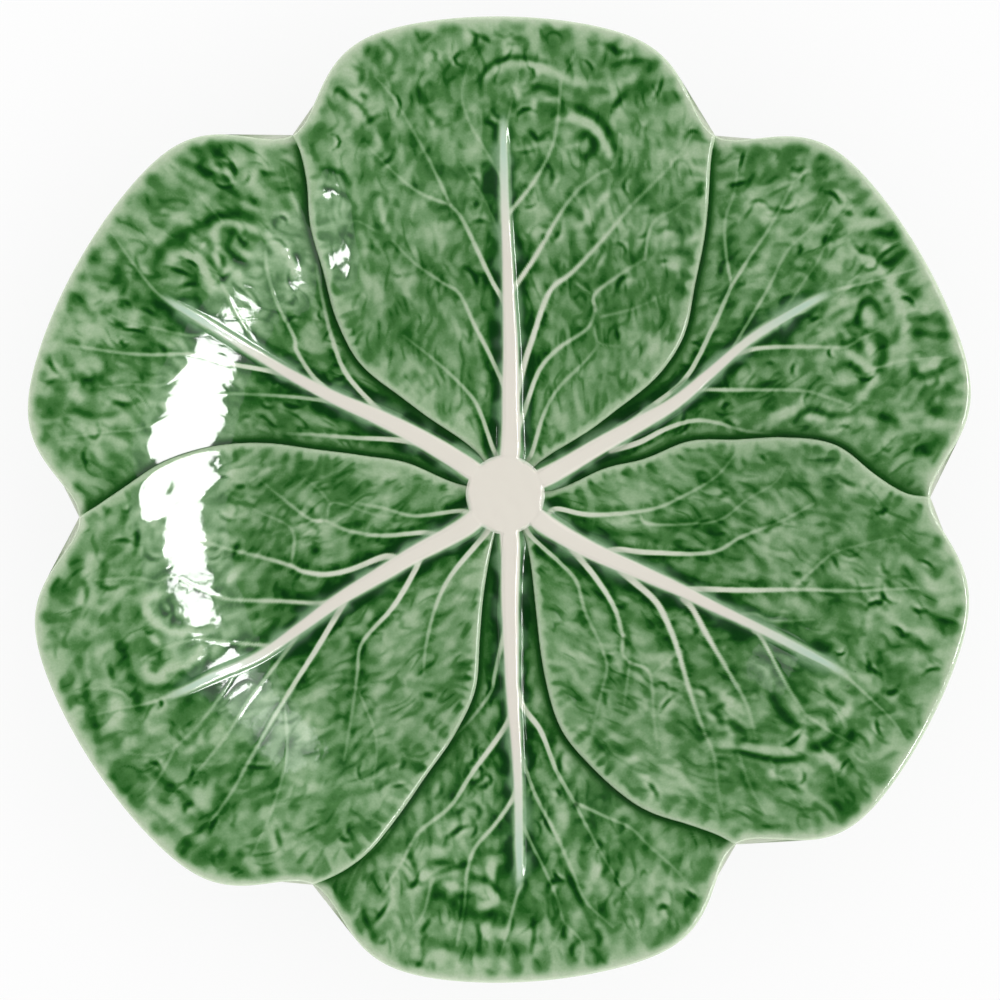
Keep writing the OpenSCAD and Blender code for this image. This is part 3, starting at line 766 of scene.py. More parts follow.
LOWER_LEFT = LeafTable(
    "lower_left",
    Lap.OVER,
    (219, 213.9, 212.6, 212.2, 212.9, 213.2, 211.8, 210.9, 209.5, 208.4),
    0.818,
    (
        Vein(6.5, (345, 597, 321, 604, 279, 602, 228, 600, 201, 591, 172, 577, 156, 582, 134, 578,
             96, 580)),
        Vein(7, (445, 538, 425, 533, 381, 536, 347, 531, 325, 521), 0.6),
        Vein(5, (325, 521, 308, 519, 279, 497, 257, 479)),
        Vein(8.5, (402, 563, 385, 557, 350, 570, 324, 575, 301, 572, 288, 566, 257, 557, 221, 548, 183, 535,
             161, 526), 0.3),
        Vein(4, (290, 566, 290, 530, 257, 512, 223, 492)),
        Vein(3.5, (290, 530, 306, 523, 325, 521)),
        Vein(3.5, (325, 521, 329, 504, 345, 505, 380, 516, 425, 516)),
        Vein(3, (329, 504, 318, 490, 300, 476)),
        Vein(6.5, (472, 515, 459, 511, 414, 516, 381, 508, 347, 502)),
        Vein(5.5, (272, 648, 257, 646, 223, 643, 196, 640, 161, 649, 140, 660)),
        Vein(7.5, (420, 558, 412, 575, 392, 608, 361, 644, 356, 675, 352, 706, 343, 762), 0.3),
        Vein(8, (492, 525, 483, 537, 450, 577, 434, 611, 425, 649, 423, 675), 0.3),
        Vein(8, (345, 600, 315, 650, 283, 701, 257, 746, 234, 788, 210, 824), 0.35),
        Vein(4, (283, 703, 286, 748, 281, 780, 268, 820, 252, 855)),
        Vein(5.5, (296, 636, 286, 650, 248, 701, 225, 737, 196, 773, 170, 797)),
        Vein(4.5, (240, 665, 223, 692, 201, 721, 176, 746, 156, 755, 125, 753)),
        Vein(3.5, (176, 746, 156, 782, 138, 800)),
        Vein(4, (174, 695, 145, 704, 118, 709, 90, 716)),
        Vein(3.5, (356, 690, 375, 740, 372, 790)),
        Vein(3.5, (130, 700, 115, 690, 82, 688)),
    ),
    (
        press(0.6, 7, (163, 594, 148, 600, 146, 612, 158, 626, 172, 632, 195, 633),
              (147, 660, 146, 672, 156, 678, 166, 670, 186, 664, 200, 650)),
        press(-0.5, 6, (166, 598, 160, 606, 166, 616, 182, 622), (136, 680, 148, 688, 172, 686, 198, 678)),
        press(0.5, 6, (150, 636, 158, 644), (224, 582, 232, 576)),
        press(0.45, 6, (224, 474, 230, 470)),
        press(0.6, 12, (100, 655, 112, 690, 118, 722, 128, 742)),
        press(-0.5, 8, (118, 640, 130, 672, 138, 700, 140, 730), (80, 660, 88, 700, 98, 740)),
        press(-0.45, 8, (352, 522, 362, 524)),
        press(-0.5, 7, (312, 548, 316, 554)),
        press(0.4, 8, (372, 620, 366, 612)),
        press(0.4, 9, (88, 560, 84, 590, 84, 620), (150, 800, 175, 822, 205, 842)),
        press(-0.4, 8, (118, 548, 104, 566, 100, 600)),
        press(-0.4, 7, (150, 770, 175, 790, 200, 812)),
        press(-0.45, 9, (250, 630, 220, 655, 205, 668), (355, 585, 320, 590, 300, 592)),
        press(-0.5, 9, (380, 578, 350, 582)),
        press(-0.4, 10, (335, 620, 310, 640, 300, 655)),
    ),
)
BOTTOM = LeafTable(
    "bottom",
    Lap.UNDER,
    (276, 273.3, 272.9, 272.8, 273.2, 273.3, 273.1, 272.8, 271.4, 269.8),
    0.828,
    (
        Vein(7, (510, 615, 504, 635, 495, 675, 490, 695, 468, 724, 439, 753)),
        Vein(7.5, (515, 705, 508, 724, 495, 744, 472, 775, 450, 808, 421, 831, 410, 846), 0.6),
        Vein(4.5, (410, 846, 401, 864, 379, 898)),
        Vein(6.5, (519, 782, 512, 802, 495, 826, 475, 849, 467, 873, 464, 907, 457, 945), 0.5),
        Vein(4, (392, 828, 379, 844, 358, 866, 345, 895)),
        Vein(8, (517, 690, 524, 710, 541, 733, 557, 773, 575, 804), 0.6),
        Vein(4.5, (575, 804, 604, 817, 631, 829, 649, 846, 675, 869, 688, 884)),
        Vein(4.5, (575, 804, 588, 829, 604, 858, 622, 887, 631, 900)),
        Vein(5.5, (519, 750, 524, 766, 537, 800, 559, 842, 573, 873, 586, 902, 613, 927)),
        Vein(5, (521, 820, 530, 842, 544, 869, 557, 898, 564, 922, 582, 942, 582, 962)),
        Vein(3.5, (564, 922, 556, 940, 548, 950)),
        Vein(4.5, (522, 885, 517, 895, 508, 929, 500, 958)),
        Vein(4, (432, 880, 424, 912, 412, 930)),
    ),
    (
        press(0.7, 8, (422, 879, 434, 876, 450, 870)),
        press(0.6, 6, (445, 884, 460, 889)),
        press(0.65, 11, (474, 890, 492, 898, 484, 906, 474, 902)),
        press(-0.55, 5, (422, 884, 438, 874, 462, 866, 474, 862)),
        press(-0.6, 9, (430, 892, 443, 898, 452, 903)),
        press(-0.5, 5, (464, 899, 461, 922), (410, 857, 415, 870, 420, 884)),
        press(-0.6, 8, (478, 914, 488, 914, 497, 909)),
        press(0.55, 11, (421, 918, 440, 920, 462, 924, 480, 930, 502, 932, 531, 932)),
        press(-0.45, 5, (429, 863, 452, 864), (476, 878, 488, 882, 498, 892)),
        press(-0.5, 6, (500, 868, 497, 884, 503, 898)),
        press(0.5, 8, (488, 862, 494, 876)),
        press(-0.5, 11, (437, 940, 452, 946, 475, 952, 500, 950, 523, 950)),
        press(0.4, 8, (418, 855, 428, 850, 445, 852)),
        press(0.4, 9, (540, 905, 548, 925, 552, 936), (590, 850, 600, 880, 612, 905)),
        press(-0.5, 4, (478, 926, 480, 938, 478, 950), (533, 920, 534, 935, 531, 952)),
        press(-0.4, 5, (362, 905, 366, 920, 374, 936), (560, 860, 580, 900, 592, 922)),
        press(-0.45, 6, (415, 962, 424, 968)),
        press(0.45, 8, (566, 825, 560, 812)),
    ),
)
LOWER_RIGHT = LeafTable(
    "lower_right",
    Lap.OVER,
    (323.8, 327.1, 330.3, 332, 332.6, 333.1, 333.2, 333, 331.5, 329.9),
    0.818,
    (
        Vein(8, (680, 591, 703, 590, 748, 591, 806, 590, 851, 591, 918, 588), 0.3),
        Vein(4, (795, 588, 815, 570, 835, 553, 862, 545, 895, 537)),
        Vein(8, (598, 556, 617, 550, 650, 553, 712, 553, 744, 537, 784, 521, 815, 504), 0.3),
        Vein(7, (546, 518, 557, 509, 593, 515, 650, 510, 683, 497, 717, 477, 739, 452), 0.3),
        Vein(4, (640, 512, 650, 524, 695, 524, 724, 519, 750, 499, 777, 483, 788, 466)),
        Vein(5, (740, 616, 757, 615, 775, 622, 815, 620)),
        Vein(9.5, (560, 535, 579, 557, 597, 579, 615, 608, 624, 637), 0.6),
        Vein(5, (624, 637, 624, 655, 631, 664), 0.9),
        Vein(4.5, (631, 664, 651, 675, 655, 717, 658, 750)),
        Vein(3.5, (631, 664, 624, 717)),
        Vein(6.5, (524, 520, 530, 535, 559, 562, 577, 582, 586, 613, 602, 646), 0.5),
        Vein(4, (602, 646, 608, 669, 602, 695, 593, 735)),
        Vein(4, (604, 655, 618, 654, 624, 650)),
        Vein(10, (602, 550, 624, 573, 655, 600, 668, 622, 679, 650, 692, 695, 706, 735), 0.5),
        Vein(4.5, (706, 735, 715, 757, 719, 793, 724, 815)),
        Vein(4.5, (677, 655, 664, 668, 653, 676)),
        Vein(8, (685, 600, 695, 611, 712, 642, 735, 681, 748, 706, 757, 739), 0.35),
        Vein(6, (756, 632, 764, 640, 788, 686, 806, 715), 0.7),
        Vein(4, (806, 715, 833, 733, 862, 748)),
        Vein(4, (842, 672, 869, 697, 893, 721, 905, 740)),
        Vein(3.5, (739, 754, 752, 790, 770, 820)),
        Vein(3, (770, 760, 790, 790, 806, 812)),
        Vein(3.5, (820, 745, 832, 765, 838, 796)),
    ),
    (
        press(0.55, 8, (715, 742, 728, 747, 742, 750, 770, 750, 795, 752, 806, 738),
              (822, 755, 834, 762, 840, 772)),
        press(0.65, 9, (802, 733, 806, 722, 818, 720, 826, 728, 820, 738)),
        press(-0.5, 5, (715, 752, 740, 753, 760, 757, 780, 761, 803, 758), (816, 804, 826, 812, 834, 822),
              (826, 688, 832, 698, 842, 703)),
        press(-0.6, 10, (810, 750, 820, 746, 828, 743)),
        press(-0.5, 7, (719, 712, 724, 722, 734, 726, 741, 734, 738, 744)),
        press(0.5, 7, (720, 692, 728, 700, 740, 704)),
        press(0.5, 6, (727, 722, 731, 732)),
        press(0.6, 7, (839, 718, 846, 712, 850, 709)),
        press(0.45, 7, (631, 763, 640, 757), (785, 690, 796, 708, 800, 716),
              (758, 664, 768, 672, 772, 680)),
        press(0.45, 6, (636, 772, 646, 780, 650, 792)),
        press(-0.45, 7, (775, 700, 786, 718, 796, 724), (772, 636, 800, 652, 822, 664)),
        press(-0.4, 7, (850, 722, 852, 735, 846, 748), (860, 440, 856, 460)),
        press(-0.4, 10, (615, 725, 600, 745, 640, 752)),
        press(0.4, 8, (770, 770, 776, 780), (795, 772, 806, 790, 812, 798)),
        press(-0.45, 9, (662, 585, 690, 606), (600, 530, 640, 536, 660, 538)),
        press(0.4, 9, (905, 560, 925, 575, 940, 600)),
        press(-0.4, 8, (880, 620, 912, 640, 930, 650), (840, 600, 870, 610)),
    ),
)
TABLES = (UPPER_RIGHT, TOP, UPPER_LEFT, LOWER_LEFT, BOTTOM, LOWER_RIGHT)


@dataclass
class Lie:
    """Where each point of a leaf's sheet lies, in millimetres."""

    sheet: Sheet
    rim_d: Array
    rim_run: Array
    edges: list[tuple[Array, Array]]
    inner: Array

    @property
    def edge_d(self) -> Array:
        """Distance from the nearer of the leaf's two edges."""
        return np.minimum(self.edges[0][0], self.edges[1][0])


@dataclass
class RibField:
    """The midrib on a leaf's sheet."""

    away: Array
    half: Array
    on: Array
    tip: Array
    t: Array
    height: Array


@dataclass
class VeinField:
    """The side veins on a leaf's sheet: their height, the veins, their roots and the glaze beside them."""

    height: Array
    on: Array
    root: Array
    beside: Array


@dataclass
class Grain:
    """Random waves, mottling, wrinkles and clouds on a leaf's sheet."""

    broad: Array
    mottle: Array
    wrinkles: Array
    clouds: Array


@dataclass
class Relief:
    """Relief and glaze of one leaf, worked out on a sheet."""

    sheet: Sheet
    height: Array
    rib: Array
    glaze: Array
    cream: Array
    teal: Array

    def paint(self, xy: Array) -> dict[str, Array]:
        """The painted values at points of the plan, by name."""
        return {key: self.sheet.read(getattr(self, key), xy) for key in PAINTED}


@dataclass
class Skin:
    """The upper surface of a leaf in rows and columns of points, from the stem out to the rim.

    Its plain surface leaves the midrib out, its base is the dish's surface under it, the zone holds the
    columns that the midrib covers, and rib_rows counts the rows that it covers.
    """

    surface: Array
    plain: Array
    base: Array
    normals: Array
    paint: dict[str, Array]
    zone: Array
    rib_rows: int

    def painted(self, part: tuple | slice) -> dict[str, Array]:
        """The painted values of one part of the skin."""
        return {key: value[part] for key, value in self.paint.items()}


@dataclass(frozen=True)
class Tones:
    """How dark the glaze lies, from 0 for the palest to 1, and how much each cause adds."""

    plain: float = 0.51
    hollow: float = 0.8
    small_hollow: float = 0.8
    wide_hollow: float = 1.0
    cloud: float = 0.28
    wrinkle: float = 0.14
    mottle: float = 0.155
    by_vein: float = 0.27
    near_stem: float = 0.05
    palest: float = 0.24
    by_rib: float = 0.34
    lap_edge: float = 0.2
    lap_inside: float = 0.33
    lap_nose: float = 0.3
    under_lap: float = 0.93
    rim_edge: float = 0.12
    rim_inside: float = 0.27
    vein: float = 0.07
    vein_flank: float = 0.24
    halo: float = 0.5
    rib: float = 0.04


@dataclass
class Leaf:
    """One leaf with its midrib and side veins, in millimetres."""

    index: int
    table: LeafTable
    plan: Plan
    form: DishForm
    tones: Tones = field(default_factory=Tones)
    row_gap: float = 0.45
    column_gap: float = 0.46
    edge_round: float = 1.1
    lip_round: float = 1.8
    rib_w: float = 6.0
    rib_tip_w: float = 2.7
    rib_h: float = 1.6
    rib_tip_h: float = 0.55
    rib_skirt: float = 1.1
    rib_sink: float = 0.12
    leaf_sink: float = 0.25
    flare_at: float = 9.0
    flare_run: float = 5.5
    flare_w: float = 0.7
    flare_h: float = 0.45
    vein_unit: float = 0.235
    vein_h: float = 0.085
    fold_unit: float = 0.198
    fold_h: float = 0.85
    crinkle: float = 0.07
    wrinkle: float = 0.05
    fold_share: float = 0.32
    border_w: float = 4.0
    lap_border: float = 3.0
    hook_count: int = 48
    hook_sizes: tuple[float, float] = (3.0, 8.0)
    hook_lip: float = 0.35
    wall: tuple[float, float] = (64.0, 103.0)
    wall_level: float = 0.72
    sheet_margin: float = 3.0
    top_gap: float = 0.02
    top_round: float = 0.12
    steps: tuple[float, ...] = (0, 0.06, 0.16, 0.3, 0.48, 0.7, 0.95, 1.25, 1.6, 2.0, 2.45)
    zone_columns: int = 22
    zone_keep: tuple[int, int, int] = (5, -5, 6)
    floor_columns: int = 6
    border: Array = field(default_factory=lambda: np.zeros((0, 9)))

    def edge_angle(self, side: int, share: Array) -> Array:
        """Angle of the leaf's first (0) or second (1) edge at a share of the way out."""
        k = self.index + side
        return along(np.array(EDGES[k % LEAVES], float), (share * 10 - 1) / 9) + 360 * (k // LEAVES)

    def rib_angle(self, share: Array) -> Array:
        """Angle of the midrib at a share of the way out."""
        return along(np.array(self.table.midrib, float), (share * 10 - 1) / 9)

    def rib_half(self, share: Array) -> Array:
        """Half the midrib's width at a share of the way out."""
        return mix(self.rib_w, self.rib_tip_w, smooth(share / self.table.rib_end * 1.1)) / 2

    def rib_line(self) -> Array:
        """The midrib's middle line, from the stem's middle outwards."""
        share = np.linspace(0.02, self.table.rib_end, 160)
        return self.plan.xy(share, self.rib_angle(share))

    def side_columns(self, share: Array, edge: Array, inner: Array) -> tuple[Array, Array]:
        """Lays out the columns between an edge and the midrib, close together by the edge.

        Args:
            share: share of the way out of each row.
            edge: angle of the edge in each row.
            inner: angle in each row at which the midrib starts.

        Returns:
            Each vertex's angle, from the edge inwards, and its distance from the edge.
        """
        edge_xy = self.plan.xy(share, edge)
        run = np.gradient(edge_xy, axis=0)
        run /= np.linalg.norm(run, axis=1, keepdims=True)
        across = np.stack([-np.sin(np.radians(edge)), np.cos(np.radians(edge))], 1)
        squareness = np.clip(np.abs(run[:, 0] * across[:, 1] - run[:, 1] * across[:, 0]), 0.3, 1)
        width = np.abs(inner - edge) * self.plan.radius(share, edge) * math.pi / 180
        count = int(width.max() / self.column_gap)
        even = np.arange(count + 1) / count * width[:, None]
        close = np.full(count + 1, FAR)
        close[: len(self.steps)] = self.steps
        away = np.minimum(even, close / squareness[:, None])
        last = np.minimum(len(self.steps), count) - 1
        rest = mix(away[:, last : last + 1], width[:, None], np.arange(count + 1 - last) / (count - last))
        away = np.concatenate([away[:, :last], rest], 1)
        angles = edge[:, None] + (inner - edge)[:, None] * away / width[:, None]
        return angles, away * squareness[:, None]

    def grid(self) -> tuple[Array, Array, Array, int]:
        """Lays out the leaf's rows and columns.

        Returns:
            The share of the way out of each row, every vertex's angle and distance from an edge, and
            the column at which the midrib starts.
        """
        plan = self.plan
        end_steps = np.array(self.steps) / plan.plate_r
        n = int((plan.plate_r - plan.stem_r) / self.row_gap)
        share = np.concatenate([np.linspace(plan.stem_share, 1 - end_steps[-1], n)[:-1], 1 - end_steps[::-1]])
        mid, edges = self.rib_angle(share), [self.edge_angle(side, share) for side in (0, 1)]
        degree = plan.radius(share, mid) * math.pi / 180
        zone = (self.rib_half(share) + self.rib_skirt) / degree
        zone = np.minimum(zone, 0.5 * np.minimum(mid - edges[0], edges[1] - mid))
        first, first_d = self.side_columns(share, edges[0], mid - zone)
        second, second_d = self.side_columns(share, edges[1], mid + zone)
        steps = np.linspace(-1, 1, self.zone_columns + 1)
        middle = mid[:, None] + zone[:, None] * steps
        angle = np.concatenate([first[:, :-1], middle, second[:, -2::-1]], 1)
        far = np.full(middle.shape, FAR)
        distance = np.concatenate([first_d[:, :-1], far, second_d[:, -2::-1]], 1)
        return share, angle, distance, first.shape[1] - 1

    def lie(self, xy: Array) -> Lie:
        """Lays a sheet over the leaf and measures where its points lie.

        Args:
            xy: the leaf's points in plan.

        Returns:
            The sheet, with its points' distances from the outline, the edges and the stem's middle.
        """
        plan, flat = self.plan, xy.reshape(-1, 2)
        sheet = Sheet(flat.min(0) - self.sheet_margin, flat.max(0) + self.sheet_margin)
        share = np.linspace(plan.stem_share, 1, 120)
        edges = [sheet.near(plan.xy(share, self.edge_angle(k, share)), 16)[:2] for k in (0, 1)]
        low, high = (self.edge_angle(k, np.array([1.0]))[0] for k in (0, 1))
        rim_d, rim_run, _ = sheet.near(plan.xy(np.ones(300), np.linspace(low - 6, high + 6, 300)), 22)
        return Lie(sheet, rim_d, rim_run, edges, np.hypot(sheet.x - plan.stem[0], sheet.y - plan.stem[1]))

    def rib_field(self, sheet: Sheet) -> RibField:
        """Works out the midrib on the leaf's sheet.

        Args:
            sheet: the grid over the leaf.

        Returns:
            Distance from its middle, half its width, where it is, its tip, the share of its length and
            its height.
        """
        line = self.rib_line()
        away, run, _ = sheet.near(line, 14)
        t = run / length_of(line)
        half = mix(self.rib_w, self.rib_tip_w, smooth(t * 1.2)) / 2 * mix(0.62, 1, smooth((1 - t) / 0.16))
        tip = smooth((1 - t) / 0.1)
        soft = mix(1.9, 0.8, tip)
        on = smooth((half - 0.4 * tip + soft / 2 - away) / soft) * tip
        flare = bump(run - self.flare_at, self.flare_run)
        half = half + self.flare_w * flare
        skirt = self.rib_skirt * 0.8
        profile = smooth((half + skirt - away) / (half * 0.5 + skirt))
        height = (mix(self.rib_h, self.rib_tip_h, smooth(t * 1.1)) + self.flare_h * flare) * profile * tip
        return RibField(away, half, on, tip, t, height)

    def vein_field(self, sheet: Sheet) -> VeinField:
        """Works out the side veins on the leaf's sheet.

        Args:
            sheet: the grid over the leaf.

        Returns:
            Their height, where they are, where their pale roots are and how dark the glaze lies beside.
        """
        total = VeinField(*(np.zeros(sheet.x.shape) for _ in range(4)))
        for vein in self.table.veins:
            path = fine_line(self.plan.px(vein.route))
            length = length_of(path)
            away, place, _ = sheet.near(path, 5)
            t = place / length
            half = vein.width * mix(1, vein.tip * 0.85, t**0.8) * self.vein_unit / 2
            end = smooth((1 - t) * length / 3) if vein.tip < 0.5 else 1.0
            start = smooth(0.2 + place / 2.5)
            rise = self.vein_h * (half * 2) ** 1.2 * (0.35 + 0.65 * end)
            thin = np.clip(vein.width * mix(1, vein.tip * 0.8, t) / 6.2, 0.15, 1) ** 1.5
            faint = thin * (0.2 + 0.8 * end) * start
            root = smooth((half + 0.1 - away) / 0.5) * smooth((vein.width * (1 - t) - 3.4) / 5)
            comb = 0.65 + 0.9 * np.abs(Noise(50)(place / 1.3, away / 2.5 + length))
            strength = np.clip(vein.width / 7, 0.4, 1.2) * (1 - 0.5 * t)
            pool = smooth((away - half) / 0.4) * bump(np.maximum(away - half - 0.3, 0), 1.1 + 0.9 * half)
            total.height = np.maximum(total.height, rise * start * bump(away, 1.05 * half + 0.1))
            total.on = np.maximum(total.on, smooth((half + 0.16 - away) / 0.36) * faint)
            total.root = np.maximum(total.root, root)
            total.beside = np.maximum(total.beside, comb * strength * pool)
        return total

    def grain(self, lie: Lie) -> Grain:
        """Draws the crinkles of the leaf, and broad clouds in its glaze.

        Args:
            lie: where the sheet's points lie.

        Returns:
            Waves and mottling, both about -1 to 1, wrinkles from 0 to 1, and clouds.
        """
        seed, sheet = 100 * (self.index + 1), lie.sheet
        rho = np.maximum(lie.inner, 4.0)
        middle = float(self.rib_angle(np.array([0.6]))[0])
        bearing = np.degrees(np.arctan2(sheet.y - self.plan.stem[1], sheet.x - self.plan.stem[0]))
        over = 55 * np.radians(turn(bearing, middle)) * (rho / 55) ** 0.8
        warp = [Noise(seed + k)(sheet.x / 9, sheet.y / 9) for k in (1, 2)]
        u, v = rho + 1.6 * warp[0], over + 1.6 * warp[1]
        broad = Noise(seed + 3)(u / 6.4, v / 3.2)
        fine = 0.36 * mix(0.4, 1, smooth((rho - 25) / 35)) * Noise(seed + 4)(u / 2.7, v / 1.9)
        mottle = 0.75 * Noise(seed + 12)(u / 5.2, v / 3.2) + fine
        mottle += 0.1 * Noise(seed + 5)(sheet.x / 1.7, sheet.y / 1.7)
        line = 1 - np.abs(Noise(seed + 6)(u / 7.5 + 0.3 * warp[1], v / 3.4)) * 2.0
        gate = smooth(0.4 + 1.6 * Noise(seed + 7)(sheet.x / 6, sheet.y / 6))
        wrinkles = smooth((line - 0.35) / 0.65) * gate
        pleats = Noise(seed + 8)(lie.rim_run / 4.4, lie.rim_d / 8 + 0.3 * warp[0])
        mottle = mix(mottle, 0.6 * mottle + 1.25 * pleats, smooth((13 - lie.rim_d) / 6))
        if self.table.lap is Lap.OVER:
            for k, (edge_d, edge_run) in enumerate(lie.edges):
                folds = Noise(seed + 20 + k)(edge_run / 2.3 + 0.25 * warp[1], edge_d / 8)
                gate = smooth(0.6 + 1.4 * Noise(seed + 30 + k)(edge_run / 16, edge_d / 20))
                mottle = mix(mottle, 0.3 * mottle + 1.5 * folds, smooth((9 - edge_d) / 6) * gate)
        clouds = 0.6 * Noise(seed + 9)(sheet.x / 17, sheet.y / 17) + 0.5 * Noise(seed + 10)(u / 10, v / 6)
        return Grain(broad, np.tanh(1.9 * mottle), wrinkles, clouds)

    def hooks(self, lie: Lie) -> Array:
        """Draws short curled creases, each with a pale lip beside it, strewn over the outer leaf.

        Args:
            lie: where the sheet's points lie.

        Returns:
            Their depth, below zero, and their lips' height.
        """
        sheet = lie.sheet
        rng = np.random.default_rng(900 + self.index)
        total = np.zeros(sheet.x.shape)
        steps = np.linspace(-0.5, 0.5, 5)[:, None]
        for _ in range(self.hook_count):
            share = math.sqrt(rng.uniform(0.16, 0.93))
            place = np.array([share])
            low, high = self.edge_angle(0, place)[0], self.edge_angle(1, place)[0]
            a = rng.uniform(low + 3, high - 3)
            at = self.plan.xy(place, np.array([a]))[0]
            way, curl = math.radians(a) + rng.normal(0, 0.8), rng.normal(0, 1.1)
            size = rng.uniform(*self.hook_sizes)
            heading = way + curl * steps
            line = at + size * steps * np.concatenate([np.cos(heading), np.sin(heading)], 1)
            aside = rng.choice([-1, 1]) * np.array([-math.sin(way), math.cos(way)])
            deep, width = rng.uniform(0.2, 0.5) * mix(0.6, 1, share), rng.uniform(0.4, 0.9)
            lip = line + aside * (1.6 * width + 0.3)
            for path, rise, w in ((line, -deep, width), (lip, self.hook_lip * deep, width * 1.2)):
                away, run, _ = sheet.near(path, 4)
                fade = np.sin(math.pi * np.clip(run / size, 0.1, 0.9))
                total += rise * fade * bump(away, w)
        return total * smooth((lie.rim_d - 2) / 2) * smooth((lie.edge_d - 1) / 2)

    def folds(self, lie: Lie) -> Array:
        """Presses the leaf's own folds into its sheet.

        Args:
            lie: where the sheet's points lie.

        Returns:
            Their height above the leaf, below zero for a crease.
        """
        total = np.zeros(lie.sheet.x.shape)
        for pucker in (pucker for alike in self.table.puckers for pucker in alike):
            path = fine_line(self.plan.px(pucker.route))
            away, place, _ = lie.sheet.near(path, 8)
            fade = 0.55 + 0.45 * np.sin(math.pi * np.clip(place / (length_of(path) + TINY), 0, 1))
            total = total + self.fold_h * pucker.height * fade * bump(away, pucker.width * self.fold_unit)
        return total * smooth((lie.rim_d - 0.5) / 2) * smooth((lie.edge_d - 0.2) / 1.2)

    def relief(self, xy: Array) -> Relief:
        """Works out the leaf's relief and glaze on a sheet that covers its points.

        Args:
            xy: the leaf's points in plan.

        Returns:
            The relief, from which the leaf and its midrib are built.
        """
        lie = self.lie(xy)
        sheet, edge_d, rim_d = lie.sheet, lie.edge_d, lie.rim_d
        rib, veins = self.rib_field(sheet), self.vein_field(sheet)
        grain, folds = self.grain(lie), self.folds(lie)
        calm = smooth((edge_d - 0.4) / 2.2) * smooth((rim_d - 0.6) / 2.8)
        calm = calm * smooth((rib.away - rib.half - 0.2) / 1.6)
        grown = mix(0.7, 1, smooth((lie.inner - 18) / 50))
        quiet = smooth((edge_d - 0.2) / 1.2) * smooth((rim_d - 0.5) / 2) * (1 - rib.on)
        on_wall = smooth((lie.inner - self.wall[0]) / 8) * (1 - smooth((lie.inner - self.wall[1]) / 8))
        level = 1 - self.wall_level * on_wall
        surface = self.crinkle * grown * grain.broad * calm * (1 - 0.6 * veins.on) + self.fold_share * folds
        surface -= self.wrinkle * grain.wrinkles * calm * grown * (1 - veins.on)
        height = surface * level + veins.height * quiet * mix(1, level, 0.85)
        total = height + rib.height + (1 - self.fold_share * level) * folds + self.hooks(lie) * (1 - rib.on)
        hollow = self.tones.small_hollow * (sheet.blur(total, 0.8) - total)
        hollow = hollow + self.tones.wide_hollow * (sheet.blur(total, 2.8) - total)
        glaze = self.leaf_glaze(lie, rib, veins, grain, hollow, calm, grown)
        paints = (np.clip(paint, 0, 1) for paint in self.rib_colours(sheet, rib, veins, glaze))
        return Relief(sheet, height, rib.height, *paints)

    def leaf_glaze(
        self, lie: Lie, rib: RibField, veins: VeinField, grain: Grain, hollow: Array, calm: Array,
        grown: Array,
    ) -> Array:
        """Works out how dark the glaze lies on the leaf and its side veins.

        Args:
            lie: where the sheet's points lie.
            rib: the midrib on the sheet.
            veins: the side veins on it.
            grain: the crinkles and clouds.
            hollow: how far each point lies below those around it.
            calm: 0 along the leaf's edges and midrib, 1 away from them.
            grown: how strong the crinkles are on the way out.

        Returns:
            The darkness, from 0 to about 1.
        """
        tones, edge_d, rim_d, mottle = self.tones, lie.edge_d, lie.rim_d, grain.mottle
        glaze = tones.plain + tones.hollow * hollow + tones.cloud * grain.clouds
        glaze = glaze + (tones.wrinkle * grain.wrinkles - tones.mottle * mottle * grown) * calm
        glaze = glaze + tones.by_vein * veins.beside * (0.8 - 0.35 * mottle)
        glaze = glaze - tones.near_stem * (1 - smooth((lie.inner - 30) / 30))
        glaze = soft_floor(glaze, tones.palest, 0.06)
        by_rib = rib.away - rib.half
        pool = bump(np.maximum(by_rib - 1.5, 0), 2.4) * smooth(by_rib / 1.2) * rib.tip
        glaze = glaze + tones.by_rib * pool * (0.8 + 0.5 * grain.clouds - 0.25 * mottle)
        if self.table.lap is Lap.OVER:
            pale = smooth((self.lap_border + 1.1 * mottle - edge_d) / 1.8)
            glaze = mix(glaze, mix(tones.lap_edge, tones.lap_inside, smooth(edge_d / 2.5)), 0.9 * pale)
            glaze = glaze + tones.lap_nose * smooth((0.25 - edge_d) / 0.25)
        else:
            dark = bump(edge_d, 1.6) * mix(1, 0.6, smooth((lie.inner - 95) / 25))
            glaze = mix(glaze, tones.under_lap, np.clip(dark * 1.1, 0, 1))
        border = smooth((self.border_w + 0.9 * mottle - rim_d) / 3.0)
        glaze = mix(glaze, mix(tones.rim_edge, tones.rim_inside, smooth(rim_d / 3.0)), 0.9 * border)
        vein = tones.vein + tones.vein_flank * smooth((0.7 - veins.on) / 0.6)
        return mix(glaze, vein, veins.on * (0.5 + 0.5 * veins.on))

